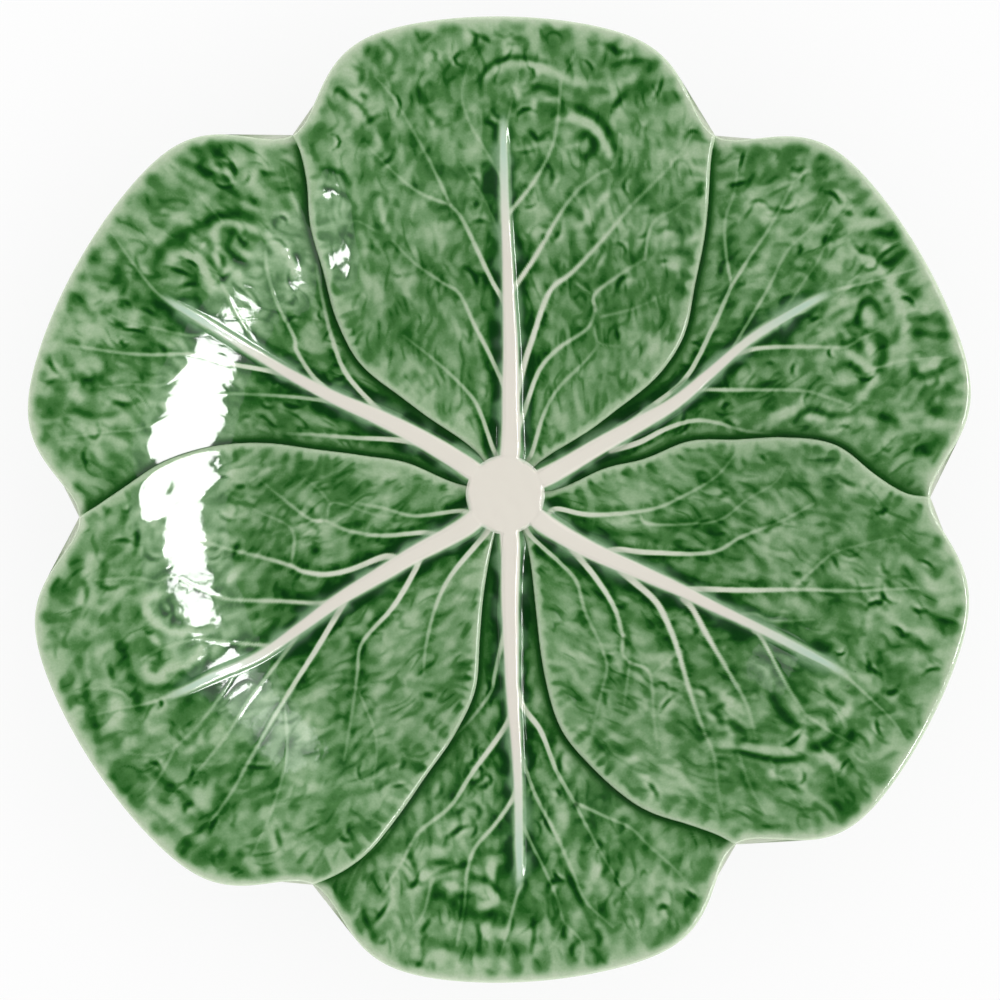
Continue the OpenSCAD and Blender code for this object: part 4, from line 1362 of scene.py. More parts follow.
    def rib_colours(
        self, sheet: Sheet, rib: RibField, veins: VeinField, glaze: Array
    ) -> tuple[Array, Array, Array]:
        """Lays the midrib's colours and the soft halo beside it over the leaf's glaze.

        Args:
            sheet: the grid over the leaf.
            rib: the midrib on it.
            veins: the side veins on it.
            glaze: how dark the leaf's own glaze lies.

        Returns:
            How dark the glaze lies, how cream and how teal it is.
        """
        cream_end = 1 - smooth((rib.t - 0.58) / 0.36)
        cream = np.maximum(rib.on * cream_end, 0.5 * veins.root * (1 - rib.on))
        gate = smooth(0.4 + 1.6 * Noise(77 + self.index)(sheet.x / 7, sheet.y / 7))
        halo = bump(np.maximum(rib.away - rib.half - 0.1, 0), 0.9 + 1.0 * gate) * (0.07 + 0.15 * gate)
        glaze = mix(glaze, self.tones.halo, np.clip(4.5 * halo * rib.tip, 0, 0.85) * (1 - rib.on))
        teal = np.clip(rib.on * (1 - 0.85 * cream_end), 0, 1)
        return mix(glaze, self.tones.rib, rib.on), cream, np.maximum(teal, 0.9 * halo * rib.tip)

    def thickness(self, s: Array, edge_d: Array) -> Array:
        """Works out how thick the plain leaf is.

        Args:
            s: share of the way out of each vertex.
            edge_d: its distance from an edge.

        Returns:
            The thickness: raised along a lapping edge, thinned along one that tucks under.
        """
        form = self.form
        grown = form.grown(self.plan, s)
        near = 1 - smooth(edge_d / form.lap_w)
        if self.table.lap is Lap.UNDER:
            return form.leaf_t - form.tuck_drop * near * grown
        edge_z = form.leaf_t - form.tuck_drop * grown
        full = form.leaf_t + form.lap_rise * near * grown
        over = 1 - np.clip(edge_d / self.edge_round, 0, 1)
        return edge_z + (full - edge_z) * np.sqrt(np.clip(1 - over**2, 0, 1))

    def build(self, finishes: "Finishes") -> list[bpy.types.Object]:
        """Makes the leaf and its midrib, and keeps the leaf's inner end for the stem end.

        Args:
            finishes: the plate's materials.

        Returns:
            The two pieces.
        """
        plan = self.plan
        share, angle, edge_d, left = self.grid()
        s = np.repeat(share[:, None], angle.shape[1], 1)
        xy = plan.xy(s, angle)
        relief = self.relief(xy)
        base, thick = self.form.top(plan, s, angle, xy), self.thickness(s, edge_d)
        rim_d = plan.plate_r * (1 - s) * plan.outline.share(angle)
        lip = np.sqrt(np.clip(1 - (1 - np.clip(rim_d / self.lip_round, 0, 1)) ** 2, 0, 1))
        relief_z, rib_z = relief.sheet.read(relief.height, xy), relief.sheet.read(relief.rib, xy)
        cap = float(CAD_HIGH[2]) / MM - self.top_gap
        plain = soft_cap(base + (thick + relief_z) * lip, cap, self.top_round)
        top = soft_cap(base + (thick + relief_z + rib_z) * lip, cap, self.top_round)
        surface = np.concatenate([xy, top[..., None]], -1)
        normals = grid_normals(surface)
        edge_line = np.gradient(xy[-1], axis=0)
        out = np.stack([edge_line[:, 1], -edge_line[:, 0], 0 * edge_line[:, 0]], -1)
        normals[-1] = out / np.linalg.norm(out, axis=1, keepdims=True)
        paint = relief.paint(xy)
        zone = np.arange(left, left + self.zone_columns + 1)
        rib_rows = int(np.searchsorted(share, self.table.rib_end))
        skin = Skin(surface, plain, base, normals, paint, zone, rib_rows)
        inner_end = [surface[0], normals[0], np.stack([paint[key][0] for key in PAINTED], -1)]
        self.border = np.concatenate(inner_end, -1)[:-1]
        return [self.build_leaf(finishes, skin), self.build_midrib(finishes, skin)]

    def build_leaf(self, finishes: "Finishes", skin: Skin) -> bpy.types.Object:
        """Makes the leaf, closed by the surface of the dish under it.

        Args:
            finishes: the plate's materials.
            skin: the leaf's upper surface.

        Returns:
            The piece.
        """
        maker, zone, rib_rows = MeshMaker(), skin.zone, skin.rib_rows
        rows, cols = skin.plain.shape
        flat = skin.surface.copy()
        flat[:rib_rows, zone, 2] = skin.plain[:rib_rows, zone]
        flat[:rib_rows, zone[1:-1], 2] -= self.leaf_sink
        before, after = np.arange(zone[0] + 1), np.arange(zone[-1], cols)
        keep = np.concatenate([before, zone[slice(*self.zone_keep)], after])
        ids = np.full((rows, cols), -1)
        part = np.ix_(np.arange(rib_rows), keep)
        ids[part] = maker.add(flat[part], skin.normals[part], **skin.painted(part))
        rest = np.s_[rib_rows:]
        ids[rest] = maker.add(flat[rest], skin.normals[rest], **skin.painted(rest))
        maker.grid(ids[:rib_rows][:, keep])
        maker.grid(ids[rest])
        for beside in (before, after):
            maker.grid(ids[rib_rows - 1 : rib_rows + 1][:, beside])
        under = keep[(keep >= zone[0]) & (keep <= zone[-1])]
        maker.zip(ids[rib_rows - 1, under], ids[rib_rows, zone], seen=True)
        self.close_leaf(maker, ids, flat, skin.base)
        ob = maker.build(f"leaf_{self.table.name}", finishes.leaf)
        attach(ob, "root")
        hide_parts(f"leaf_{self.table.name}", f"side_veins_{self.table.name}")
        return ob

    def close_leaf(self, maker: MeshMaker, ids: Array, flat: Array, base: Array) -> None:
        """Closes the leaf from below, with few faces, since nothing of them is seen.

        Args:
            maker: the leaf's mesh.
            ids: its upper vertices' numbers in rows and columns, -1 where the midrib takes one away.
            flat: the points of the upper surface.
            base: the height of the dish under them.
        """
        rows, cols = ids.shape
        floor_at = np.linspace(0, cols - 1, self.floor_columns).round().astype(int)
        floor = flat[:-1][:, floor_at].copy()
        floor[..., 2] = base[:-1][:, floor_at]
        low = maker.add(floor, DOWN)
        maker.grid(low, seen=False)
        maker.zip(low[-1], ids[-1])
        maker.zip(ids[0][ids[0] >= 0], low[0])
        side = np.arange(rows - 1)
        for column, floor_column in ((0, 0), (cols - 1, -1)):
            maker.grid(np.stack([ids[side, column], low[side, floor_column]], 1), seen=False)
            end = [ids[-2, column], ids[-1, column], low[-1, floor_column]]
            maker.faces.append((np.array([end]), False))

    def build_midrib(self, finishes: "Finishes", skin: Skin) -> bpy.types.Object:
        """Makes the midrib, which sits on the leaf and fades into it at its tip.

        Args:
            finishes: the plate's materials.
            skin: the leaf's upper surface.

        Returns:
            The piece.
        """
        maker = MeshMaker()
        rows = np.arange(skin.rib_rows + 1)
        part = np.ix_(rows, skin.zone)
        top = maker.add(skin.surface[part], skin.normals[part], **skin.painted(part))
        maker.grid(top)
        inner = np.ix_(rows[:-1], skin.zone[slice(*self.zone_keep)])
        floor = skin.surface[inner].copy()
        floor[..., 2] = skin.plain[inner] - self.rib_sink
        low = maker.add(floor, DOWN)
        bottom = np.concatenate([top[:-1, :1], low, top[:-1, -1:]], 1)
        maker.grid(bottom, seen=False)
        maker.zip(bottom[-1], top[-1])
        maker.zip(top[0], bottom[0])
        ob = maker.build(f"midrib_{self.table.name}", finishes.rib)
        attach(ob, "root")
        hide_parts(f"midrib_{self.table.name}")
        return ob


@dataclass
class StemEnd:
    """The cream stem end in the middle, in millimetres."""

    plan: Plan
    form: DishForm
    height: float = 2.0
    shoulder: float = 1.7
    cream_past: float = 0.65
    wobble: float = 0.6
    uneven: float = 0.12
    dome: float = 0.1
    rings: int = 34
    skip: int = 3
    floor_points: int = 48

    def reach(self, angle: Array) -> Array:
        """Radius to which the cream runs at an angle, a little uneven."""
        wave = Noise(5)(np.cos(angle) * 1.7 + 3, np.sin(angle) * 1.7 + 3)
        return self.plan.stem_r + (self.cream_past + wave * self.wobble)

    def build(self, finishes: "Finishes", border: Array) -> bpy.types.Object:
        """Makes the stem end inside the ring of the leaves' inner ends.

        Args:
            finishes: the plate's materials.
            border: the leaves' inner ends in order: points, normals and painted values.

        Returns:
            The piece.
        """
        border = border[:: self.skip]
        edge_glaze, edge_cream, edge_teal = border[:, 6:].T
        stem, stem_r = self.plan.stem, self.plan.stem_r
        t = np.linspace(1, 0.02, self.rings)[:, None] ** 0.8
        away = border[:, :2] - stem
        reach = self.reach(np.arctan2(away[:, 1], away[:, 0]))
        xy = stem + away * t[..., None]
        r = np.linalg.norm(away, axis=1) * t
        top = self.form.well_z + self.form.leaf_t + self.height
        dome = self.uneven * Noise(6)(xy[..., 0] / 4, xy[..., 1] / 4) - self.dome * (r / stem_r) ** 2
        raised = smooth((reach - r) / self.shoulder) * smooth((1 - t) / 0.07)
        z = mix(border[:, 2], top + dome, raised)
        points = np.concatenate([xy, z[..., None]], -1)
        normals = grid_normals(np.concatenate([points[:, -1:], points, points[:, :1]], 1))[:, 1:-1]
        normals[0] = border[:, 3:6]
        cream = mix(edge_cream, 1, smooth((reach - 0.2 - r) / 1.5))
        teal = edge_teal * (1 - smooth((1 - t) / 0.25))
        teal = teal + 0.25 * bump(r - stem_r + 0.6, 0.8) * (1 - edge_cream)
        glaze = mix(edge_glaze, 0.02, smooth(reach - r))
        maker = MeshMaker()
        ids = maker.add(points, normals, glaze=glaze, cream=cream, teal=np.clip(teal, 0, 1))
        maker.grid(ids, wrap=True)
        middle = maker.add(np.array([[*stem, float(z[-1].mean())]]), UP, glaze=0.02, cream=1.0)
        maker.fan(ids[-1], int(middle[0]))
        low = points[0, :: max(len(border) // self.floor_points, 1)].copy()
        low[:, 2] = self.form.well_z
        floor = maker.add(low, DOWN)
        maker.zip(np.append(ids[0], ids[0, 0]), np.append(floor, floor[0]))
        bottom = maker.add(np.array([[*stem, self.form.well_z]]), DOWN)
        maker.fan(floor, int(bottom[0]), seen=False)
        ob = maker.build("stem_boss", finishes.rib)
        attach(ob, "root")
        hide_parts("stem_boss")
        return ob


@dataclass
class Dish:
    """The dish that carries the leaves, with the whole underside, in millimetres."""

    plan: Plan
    form: DishForm
    columns: int = 1440
    under_gap: float = 2.4
    nose_round: float = 2.6
    flat_part: float = 0.97
    centre_share: float = 0.05
    centre_rings: int = 10
    top_rings: int = 5
    nose_steps: tuple[float, ...] = (0, 0.05, 0.15, 0.3, 0.5, 0.75, 1.1, 1.5, 2.0, 2.6, 3.4)
    unroll: float = 4.0
    plain: float = 0.5
    cloud: float = 0.12
    pool: float = 0.25
    rim_glaze: float = 0.1

    def rings(self) -> Array:
        """Lays out the dish's points: rings of the top, the nose, and the underside to the middle.

        Returns:
            The points, one row for each ring.
        """
        plan, form = self.plan, self.form
        a = np.arange(self.columns) * 360 / self.columns
        flat_share = form.well_r / plan.plate_r * self.flat_part
        nose = np.array(self.nose_steps) / plan.plate_r
        count = int((plan.plate_r - form.well_r) / self.under_gap)
        top = np.linspace(flat_share, 1, self.top_rings)
        under = np.linspace(1 - nose[-1], flat_share, count)[1:]
        centre = np.linspace(flat_share, self.centre_share, self.centre_rings)[1:]
        made = []
        for k, share in enumerate(np.concatenate([top, 1 - nose[1:], under, centre])):
            s = np.full(a.shape, share)
            xy = plan.xy(s, a)
            z = form.top(plan, s, a, xy)
            if k >= self.top_rings:
                inside = min(plan.plate_r * (1 - share) / self.nose_round, 1)
                z = mix(z, form.under(plan, s, a, xy), math.sqrt(max(1 - (1 - inside) ** 2, 0)))
            made.append(np.concatenate([xy, z[:, None]], 1))
        return np.stack(made)

    def normals(self, points: Array) -> Array:
        """Works out the dish's normals, which point outwards at the rim's edge.

        Args:
            points: the dish's points, one row for each ring.

        Returns:
            Their normals.
        """
        top, rim = self.top_rings, points[self.top_rings - 1]
        wrapped = np.concatenate([points[:, -1:], points, points[:, :1]], 1)
        normals = np.cross(np.gradient(wrapped, axis=0), np.gradient(wrapped, axis=1))[:, 1:-1]
        normals[top:] *= np.where(normals[top:][..., 2:] > 0, -1, 1)
        normals[:top] = UP
        side = np.gradient(np.concatenate([rim[-1:], rim, rim[:1]]), axis=0)[1:-1]
        normals[top - 1] = np.stack([side[:, 1], -side[:, 0], 0 * side[:, 0]], 1)
        return normals

    def glaze(self, points: Array, run: Array) -> Array:
        """Works out how dark the glaze lies: pale at the rim, pooled under the wall's foot.

        Args:
            points: the dish's points, one row for each ring.
            run: distance from the rim's edge over the underside.

        Returns:
            The darkness, from 0 to 1.
        """
        x, y = points[..., 0], points[..., 1]
        clouds = Noise(41)(x / 14, y / 14) * 0.6 + Noise(42)(x / 5, y / 5) * 0.4
        glaze = self.plain + self.cloud * clouds
        glaze = glaze + self.pool * bump(np.hypot(x, y) - self.form.well_r - 1.5, 3.0)
        under, border = np.s_[self.top_rings - 1 :], smooth((3.0 - run) / 2.2)
        glaze[under] = mix(glaze[under], self.rim_glaze, 0.85 * border)
        return np.clip(glaze, 0, 1)

    def build(self, finishes: "Finishes") -> bpy.types.Object:
        """Makes the dish as one closed surface.

        Args:
            finishes: the plate's materials.

        Returns:
            The piece.
        """
        points, top = self.rings(), self.top_rings
        lengths = np.linalg.norm(np.diff(points[top - 1 :], axis=0), axis=2)
        run = np.concatenate([np.zeros((1, self.columns)), np.cumsum(lengths, 0)])
        maker = MeshMaker()
        ids = maker.add(points, self.normals(points), glaze=self.glaze(points, run))
        maker.grid(ids[:top], wrap=True, seen=False)
        maker.grid(ids[top - 1 :], wrap=True)
        ends = ((ids[0], self.form.well_z, UP, False), (ids[-1], self.form.foot_h, DOWN, True))
        for ring, z, facing, seen in ends:
            middle = maker.add(np.array([[*self.plan.stem, z]]), facing, glaze=self.plain)
            maker.fan(ring, int(middle[0]), seen=seen)
        ob = maker.build("dish_body", finishes.leaf, self.map_uv(np.concatenate(maker.points), run))
        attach(ob, "root")
        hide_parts("dish_body")
        return ob

    def map_uv(self, points: Array, run: Array) -> Array:
        """Lays the underside on its map, with the nose unrolled round it.

        Args:
            points: all of the dish's points.
            run: distance from the rim's edge over the underside.

        Returns:
            Where each point lies on the map, from 0 to 1.
        """
        r = np.maximum(np.hypot(points[:, 0], points[:, 1]), TINY)
        start = (self.top_rings - 1) * self.columns
        part = np.s_[start : start + run.size]
        plan_r = r[part].reshape(run.shape)
        extra = np.zeros(len(points))
        extra[part] = (np.maximum(plan_r[0] + self.unroll - run, plan_r) - plan_r).ravel()
        return planar_uv(points[:, :2] / r[:, None] * (r + extra)[:, None])


@dataclass
class FootRing:
    """The ring that the plate stands on, in millimetres."""

    form: DishForm
    root_w: float = 6.0
    flat_w: float = 2.4
    inset: float = 1.6
    corner: float = 0.7
    fillet: float = 1.2
    bare_h: float = 0.75
    wipe: float = 0.35
    pale_h: float = 1.6
    segments: int = 288
    arc: int = 6
    map_inner: float = 0.2
    map_width: float = 0.28

    @property
    def angles(self) -> Array:
        """Angles of the ring's segments."""
        return np.arange(self.segments) * 2 * math.pi / self.segments

    def profile(self) -> Array:
        """Draws the ring's section: inner side, standing face and outer side.

        Returns:
            Its points, as radius and height.
        """
        h = self.form.foot_h
        outer = self.form.well_r + self.form.under_lag - self.inset
        inner = outer - self.root_w
        slope = (self.root_w - self.flat_w) / 2
        lean = slope / h
        t = np.linspace(0, 1, self.arc)
        up = np.linspace(h - self.fillet, self.corner, self.arc)[1:-1]
        fillet_r = inner - self.fillet * (1 - t) ** 2 + lean * self.fillet * t
        corner_r = inner + slope - lean * self.corner * (1 - t) + self.corner * t * 0.8
        fillet = np.stack([fillet_r, h - self.fillet * t**1.4], 1)
        side = np.stack([inner + lean * (h - up), up], 1)
        corner = np.stack([corner_r, self.corner * (1 - t) ** 1.8], 1)
        half = np.concatenate([fillet, side, corner])
        return np.concatenate([half, np.stack([inner + outer - half[:, 0], half[:, 1]], 1)[::-1]])

    def turned(self, section: Array) -> Array:
        """Turns points or directions of the section round the middle."""
        a, r = self.angles, section[:, :1]
        return np.stack([r * np.cos(a), r * np.sin(a), section[:, 1:] + 0 * a], -1)

    def build(self, finishes: "Finishes") -> bpy.types.Object:
        """Makes the ring by turning its section round the middle.

        Args:
            finishes: the plate's materials.

        Returns:
            The piece.
        """
        section, a = self.profile(), self.angles
        step = np.gradient(section, axis=0)
        facing = np.stack([step[:, 1], -step[:, 0]], 1)
        facing /= np.linalg.norm(facing, axis=1, keepdims=True)
        facing *= -1 if facing[len(facing) // 2, 1] > 0 else 1
        points = self.turned(section)
        height = points[..., 2]
        wipe = self.wipe * Noise(51)(a * 3 + 9, np.full(a.shape, 0.5))
        bare = smooth((self.bare_h + wipe - height) / 0.35)
        clouds = Noise(52)(points[..., 0] / 6, points[..., 1] / 6)
        glaze = mix(0.58, 0.12, smooth(self.pale_h - height)) + 0.12 * clouds
        maker = MeshMaker()
        ids = maker.add(points, self.turned(facing), glaze=np.clip(glaze, 0, 1), bare=bare)
        maker.grid(ids, wrap=True)
        maker.grid(ids[[0, -1]], wrap=True, seen=False)
        ob = maker.build("foot_ring", finishes.foot, self.map_uv(section))
        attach(ob, "root")
        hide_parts("foot_ring")
        return ob

    def map_uv(self, section: Array) -> Array:
        """Lays the ring on its map as a wide flat ring.

        Args:
            section: the ring's section.

        Returns:
            Where each point lies on the map, from 0 to 1.
        """
        run = np.concatenate([[0], np.cumsum(np.linalg.norm(np.diff(section, axis=0), axis=1))])
        r = (self.map_inner + self.map_width * run / run[-1])[:, None]
        uv = np.stack([0.5 + r * np.cos(self.angles), 0.5 + r * np.sin(self.angles)], -1)
        return uv.reshape(-1, 2)


# ---- finishes

Colour = tuple[float, float, float]


def linear(colour: Colour) -> tuple[float, float, float, float]:
    """A screen colour of 0 to 255 as the shader's own numbers."""
    share = [c / 255 for c in colour]
    return (*(s / 12.92 if s <= 0.04045 else ((s + 0.055) / 1.055) ** 2.4 for s in share), 1.0)


class Signal:
    """A shader socket that grows Math nodes through Python's operators."""

    def __init__(self, graph: "Graph", socket: bpy.types.NodeSocket | None) -> None:
        """Wraps a socket of a graph."""
        self.graph, self.socket = graph, socket

    def math(self, operation: str, a: "Signal | float", b: "Signal | float") -> "Signal":
        """One Math node on two values."""
        return self.graph.node("ShaderNodeMath", {"operation": operation}, {0: a, 1: b})

    def __add__(self, other: "Signal | float") -> "Signal":
        """The sum."""
        return self.math("ADD", self, other)

    def __radd__(self, other: float) -> "Signal":
        """The sum, the number first."""
        return self.math("ADD", other, self)

    def __sub__(self, other: "Signal | float") -> "Signal":
        """The difference."""
        return self.math("SUBTRACT", self, other)

    def __mul__(self, other: "Signal | float") -> "Signal":
        """The product."""
        return self.math("MULTIPLY", self, other)

    def __rmul__(self, other: float) -> "Signal":
        """The product, the number first."""
        return self.math("MULTIPLY", other, self)


class Graph:
    """The nodes of one material or world."""

    def __init__(self, tree: bpy.types.NodeTree) -> None:
        """Empties a node tree and builds on it."""
        self.tree = tree
        tree.nodes.clear()

    @staticmethod
    def of_material(name: str) -> "tuple[bpy.types.Material, Graph]":
        """Makes a material, and the graph of its nodes.

        Args:
            name: the material's name.

        Returns:
            The material and its graph.
        """
        material = bpy.data.materials.new(name)
        material.use_nodes = True
        return material, Graph(material.node_tree)

    def node(self, kind: str, settings: dict, inputs: dict, output: int | str = 0) -> Signal:
        """Adds a node.

        Args:
            kind: the node's type.
            settings: its own settings, set first; stops are a ramp's places and colours.
            inputs: socket name or number to a value or a link.
            output: which output is handed back.

        Returns:
            That output.
        """
        made = self.tree.nodes.new(kind)
        for key, value in settings.items():
            if key == "stops":
                ramp = made.color_ramp
                while len(ramp.elements) < len(value):
                    ramp.elements.new(0.5)
                for element, (place, colour) in zip(ramp.elements, value):
                    element.position, element.color = place, colour
            else:
                setattr(made, key, value)
        for key, value in inputs.items():
            if isinstance(value, Signal):
                self.tree.links.new(value.socket, made.inputs[key])
            else:
                made.inputs[key].default_value = value
        return Signal(self, made.outputs[output] if len(made.outputs) else None)

    def attribute(self, name: str) -> Signal:
        """A number painted on the mesh."""
        return self.node("ShaderNodeAttribute", {"attribute_name": name}, {}, "Fac")

    def ray(self, kind: str) -> Signal:
        """1 for light rays of one kind, 0 for the others."""
        return self.node("ShaderNodeLightPath", {}, {}, kind)

    def noise(self, place: Signal, scale: float, detail: float) -> Signal:
        """A cloud of noise from 0 to 1."""
        return self.node("ShaderNodeTexNoise", {}, {"Vector": place, "Scale": scale, "Detail": detail}, "Fac")

    def spread(self, value: Signal, limits: dict[str, float]) -> Signal:
        """A value mapped from one range to another."""
        return self.node("ShaderNodeMapRange", {}, {"Value": value, **limits})

    def blend(self, a: Signal | tuple, b: Signal | tuple, share: Signal | float) -> Signal:
        """A colour between two others."""
        settings = {"data_type": "RGBA", "clamp_factor": True}
        return self.node("ShaderNodeMix", settings, {0: share, 6: a, 7: b}, 2)

    def ramp(self, value: Signal, stops: list) -> Signal:
        """A colour read from a ramp."""
        return self.node("ShaderNodeValToRGB", {"stops": stops}, {0: value})

    def uneven(self, height: Signal, strength: float) -> Signal:
        """Normals of a surface that is uneven by up to a tenth of a millimetre."""
        inputs = {"Strength": strength, "Distance": 0.1 * MM, "Height": height}
        return self.node("ShaderNodeBump", {}, inputs)

    def glass(self, colour: Signal, rough: Signal, normal: Signal) -> None:
        """Closes a material with a plain Principled surface under glaze.

        Args:
            colour: its base colour.
            rough: its roughness.
            normal: its normals.
        """
        inputs = {"Base Color": colour, "Roughness": rough, "IOR": GLAZE_IOR, "Normal": normal}
        shader = self.node("ShaderNodeBsdfPrincipled", {}, inputs)
        self.node("ShaderNodeOutputMaterial", {}, {"Surface": shader})


@dataclass(frozen=True)
class Glaze:
    """Glossy coloured glaze that runs thin and pale over raised forms and pools dark in hollows."""

    stops: tuple[tuple[float, Colour], ...] = (
        (0.0, (216, 222, 206)),
        (0.13, (192, 205, 180)),
        (0.3, (154, 180, 144)),
        (0.46, (114, 151, 106)),
        (0.62, (72, 119, 64)),
        (0.8, (31, 87, 27)),
        (1.0, (5, 55, 11)),
    )
    cream: Colour = (225, 220, 209)
    teal: Colour = (172, 202, 182)
    roughness: float = 0.05
    grain: float = 0.14
    speckle: float = 0.1
    scales: tuple[float, float, float] = (420.0, 1700.0, 260.0)
    waviness: float = 0.2

    def shade(self, graph: Graph, dark: Signal) -> Signal:
        """The glaze's colour where it lies that dark."""
        return graph.ramp(dark, [(place, linear(colour)) for place, colour in self.stops])

    def build(self, name: str) -> bpy.types.Material:
        """Makes the material.

        Args:
            name: its name.

        Returns:
            The material.
        """
        material, graph = Graph.of_material(name)
        place = graph.node("ShaderNodeTexCoord", {}, {}, "Object")
        wide, fine = graph.noise(place, self.scales[0], 3.0), graph.noise(place, self.scales[1], 2.0)
        dark = graph.attribute("glaze") + self.grain * (wide - 0.5) + self.speckle * (fine - 0.5)
        tinted = graph.blend(self.shade(graph, dark), linear(self.teal), graph.attribute("teal") * 0.9)
        colour = graph.blend(tinted, linear(self.cream), graph.attribute("cream"))
        rough = graph.spread(wide, {"To Min": self.roughness * 0.7, "To Max": self.roughness * 1.4})
        waves = graph.noise(place, self.scales[2], 2.0)
        graph.glass(colour, rough, graph.uneven(waves, self.waviness))
        return material


@dataclass(frozen=True)
class Foot:
    """Glaze on the foot ring's sides, wiped to bare clay where it stands."""

    glaze: Glaze = field(default_factory=Glaze)
    clay: Colour = (214, 196, 170)
    dirt: Colour = (168, 150, 126)
    clay_roughness: float = 0.8
    scales: tuple[float, float] = (350.0, 2400.0)
    grittiness: float = 0.4

    def build(self, name: str) -> bpy.types.Material:
        """Makes the material.

        Args:
            name: its name.

        Returns:
            The material.
        """
        material, graph = Graph.of_material(name)
        place = graph.node("ShaderNodeTexCoord", {}, {}, "Object")
        wide, grit = graph.noise(place, self.scales[0], 3.0), graph.noise(place, self.scales[1], 4.0)
        bare = graph.attribute("bare")
        glazed = self.glaze.shade(graph, graph.attribute("glaze") + self.glaze.grain * (wide - 0.5))
        worn = graph.spread(wide, {"From Min": 0.42, "From Max": 0.75})
        clay = graph.blend(linear(self.clay), linear(self.dirt), worn * 0.6 + 0.3 * grit - 0.1)
        rough = self.glaze.roughness + bare * self.clay_roughness
        graph.glass(graph.blend(glazed, clay, bare), rough, graph.uneven(grit * bare, self.grittiness))
        return material


@dataclass
class Finishes:
    """The plate's materials."""

    leaf: bpy.types.Material = field(default_factory=lambda: Glaze().build("green_glaze"))
    rib: bpy.types.Material = field(default_factory=lambda: Glaze().build("cream_glaze"))
    foot: bpy.types.Material = field(default_factory=lambda: Foot().build("wiped_foot"))


# ---- studio


class LampShape(Enum):
    """Shape of a lamp."""

    PANE = "RECTANGLE"
    DISC = "ELLIPSE"


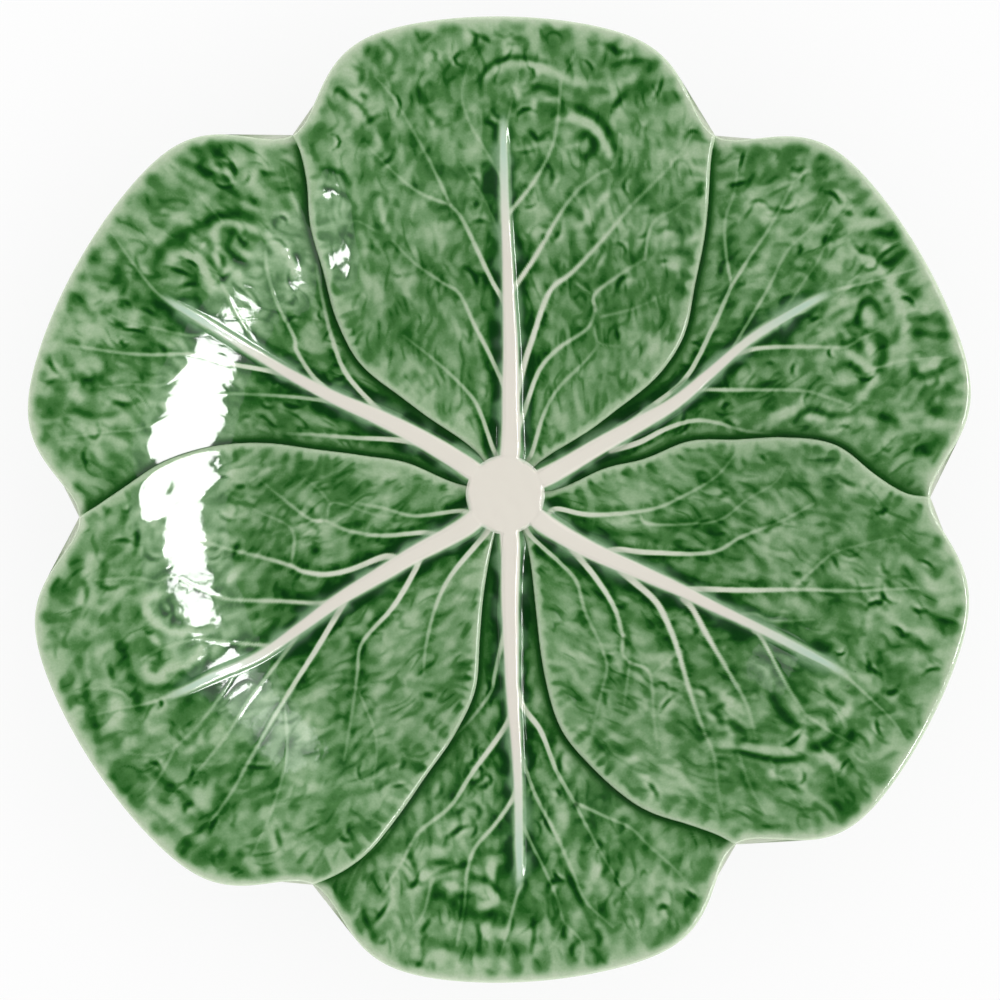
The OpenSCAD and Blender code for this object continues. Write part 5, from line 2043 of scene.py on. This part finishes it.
@dataclass
class Studio:
    """Camera, floor, room light and window panes, in metres.

    A pane is its azimuth, its lift over the panes' elevation, its width and its height; a disc is its
    azimuth, elevation, size and radiance; both in degrees. The lamps show only in the glaze.
    """

    camera_height: float = 1.5
    rim_height: float = 0.0235
    field_w: float = 0.27505
    sensor_w: float = 36.0
    picture_px: int = 1000
    shift_px: tuple[float, float] = (1.0, -0.5)
    floor_size: float = 30.0
    floor_paint: float = 0.86
    floor_glow: float = 0.88
    lamp_distance: float = 1.3
    pane_elevation: float = 46.0
    pane_radiance: float = 24.0
    panes: tuple[tuple[float, ...], ...] = (
        (-34.5, 5.0, 3.4, 4.6),
        (-16.6, 3.0, 15.6, 14.0),
        (2.0, 2.5, 7.6, 13.0),
        (10.9, 2.5, 5.4, 12.0),
        (20.0, 3.5, 4.4, 9.0),
        (33.5, 6.0, 3.0, 3.0),
    )
    discs: tuple[tuple[float, ...], ...] = (
        (39.5, 52.9, 6.5, 2.6), (48.5, 52.2, 7.0, 2.6), (150.0, 52.5, 6.0, 1.6),
    )
    veil: tuple[float, float, tuple[float, float], float] = (0.0, 52.0, (75.0, 28.0), 1.1)
    room: tuple[tuple[float, float], ...] = (
        (0.0, 0.85), (0.3, 0.75), (0.5, 0.58), (0.64, 0.32), (0.8, 0.12), (0.95, 0.06),
    )
    room_lean: float = 0.1
    room_level: float = 3.28
    mirror_level: float = 1.15

    def camera(self) -> None:
        """Sets the camera straight over the plate."""
        data = bpy.data.cameras.new("camera")
        data.sensor_width = self.sensor_w
        data.lens = self.sensor_w * self.camera_height / self.field_w
        ob = bpy.data.objects.new("camera", data)
        x, y = (shift * self.field_w / self.picture_px for shift in self.shift_px)
        ob.location = (x, y, self.rim_height + self.camera_height)
        bpy.context.collection.objects.link(ob)
        bpy.context.scene.camera = ob

    def floor(self) -> None:
        """Lays a plain white floor that keeps the plate's shadow."""
        half = self.floor_size / 2
        corners = [(-half, -half, 0), (half, -half, 0), (half, half, 0), (-half, half, 0)]
        me = bpy.data.meshes.new("floor")
        me.from_pydata(corners, [], [(0, 1, 2, 3)])
        material, graph = Graph.of_material("floor")
        seen = graph.ray("Is Camera Ray") + graph.ray("Is Glossy Ray") + graph.ray("Is Transmission Ray")
        paint = graph.node("ShaderNodeBsdfDiffuse", {}, {"Color": (*[self.floor_paint] * 3, 1)})
        glow = graph.node("ShaderNodeEmission", {}, {"Color": WHITE, "Strength": 1.0})
        shader = graph.node("ShaderNodeMixShader", {}, {0: seen * self.floor_glow, 1: paint, 2: glow})
        graph.node("ShaderNodeOutputMaterial", {}, {"Surface": shader})
        me.materials.append(material)
        ob = bpy.data.objects.new("floor", me)
        bpy.context.collection.objects.link(ob)

    def world(self) -> None:
        """Lights the room: bright low down and dim overhead, as under a dark ceiling.

        The glaze mirrors a dimmer room than the one that lights it, and the camera sees plain white.
        """
        world = bpy.data.worlds.new("room")
        bpy.context.scene.world = world
        world.use_nodes = True
        graph = Graph(world.node_tree)
        way = graph.node("ShaderNodeTexCoord", {}, {}, "Generated")
        height = graph.node("ShaderNodeSeparateXYZ", {}, {0: way}, "Z")
        ahead = graph.node("ShaderNodeSeparateXYZ", {}, {0: way}, "X")
        greys = [(place, (grey, grey, grey, 1)) for place, grey in self.room]
        light = graph.ramp(height - self.room_lean * ahead, greys)
        room, mirrored, white = (
            graph.node("ShaderNodeBackground", {}, {"Color": colour, "Strength": level})
            for colour, level in ((light, self.room_level), (light, self.mirror_level), (WHITE, 1.0))
        )
        lit = graph.node("ShaderNodeMixShader", {}, {0: graph.ray("Is Glossy Ray"), 1: room, 2: mirrored})
        seen = graph.ray("Is Camera Ray") + graph.ray("Is Transmission Ray")
        shader = graph.node("ShaderNodeMixShader", {}, {0: seen, 1: lit, 2: white})
        graph.node("ShaderNodeOutputWorld", {}, {"Surface": shader})

    def lamp(
        self, name: str, azimuth: float, elevation: float, size: tuple[float, float], radiance: float,
        shape: LampShape = LampShape.PANE,
    ) -> None:
        """Hangs one flat lamp that faces the plate.

        Args:
            name: the lamp's name.
            azimuth: its direction from the plate, in degrees from +X.
            elevation: its height over the floor, in degrees.
            size: its width and height as seen from the plate, in degrees.
            radiance: how bright it looks, where 1 is white.
            shape: its outline.
        """
        a, e = math.radians(azimuth), math.radians(elevation)
        back = Vector((math.cos(a) * math.cos(e), math.sin(a) * math.cos(e), math.sin(e)))
        data = bpy.data.lights.new(name, "AREA")
        data.shape = shape.value
        data.size, data.size_y = (2 * self.lamp_distance * math.tan(math.radians(d / 2)) for d in size)
        area = data.size * data.size_y * (1 if shape is LampShape.PANE else math.pi / 4)
        data.energy = radiance * math.pi * area
        ob = bpy.data.objects.new(name, data)
        ob.location = back * self.lamp_distance
        ob.rotation_mode = "QUATERNION"
        ob.rotation_quaternion = back.to_track_quat("Z", "Y")
        ob.visible_camera = False
        ob.visible_diffuse = False
        bpy.context.collection.objects.link(ob)

    def build(self) -> None:
        """Sets up the whole studio."""
        self.camera()
        self.floor()
        self.world()
        for k, (azimuth, lift, width, height) in enumerate(self.panes):
            self.lamp(f"pane_{k}", azimuth, self.pane_elevation + lift, (width, height), self.pane_radiance)
        for k, (azimuth, elevation, size, radiance) in enumerate(self.discs):
            self.lamp(f"disc_{k}", azimuth, elevation, (size, size), radiance, LampShape.DISC)
        self.lamp("veil", *self.veil)
        bpy.context.scene.view_settings.view_transform = "Standard"


def report(piece: bpy.types.Object) -> None:
    """Logs a piece and the size of its mesh."""
    LOG.info("%s: %d vertices, %d faces", piece.name, len(piece.data.vertices), len(piece.data.polygons))


def main() -> None:
    """Builds the plate's pieces in order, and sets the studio."""
    logging.basicConfig(level=logging.INFO, format="%(message)s")
    plan, form, finishes = Plan(), DishForm(), Finishes()
    leaves = [Leaf(index, table, plan, form) for index, table in enumerate(TABLES)]
    for leaf in leaves:
        for piece in leaf.build(finishes):
            report(piece)
    report(StemEnd(plan, form).build(finishes, np.concatenate([leaf.border for leaf in leaves])))
    report(Dish(plan, form).build(finishes))
    report(FootRing(form).build(finishes))
    Studio().build()


if __name__ == "__main__":
    main()
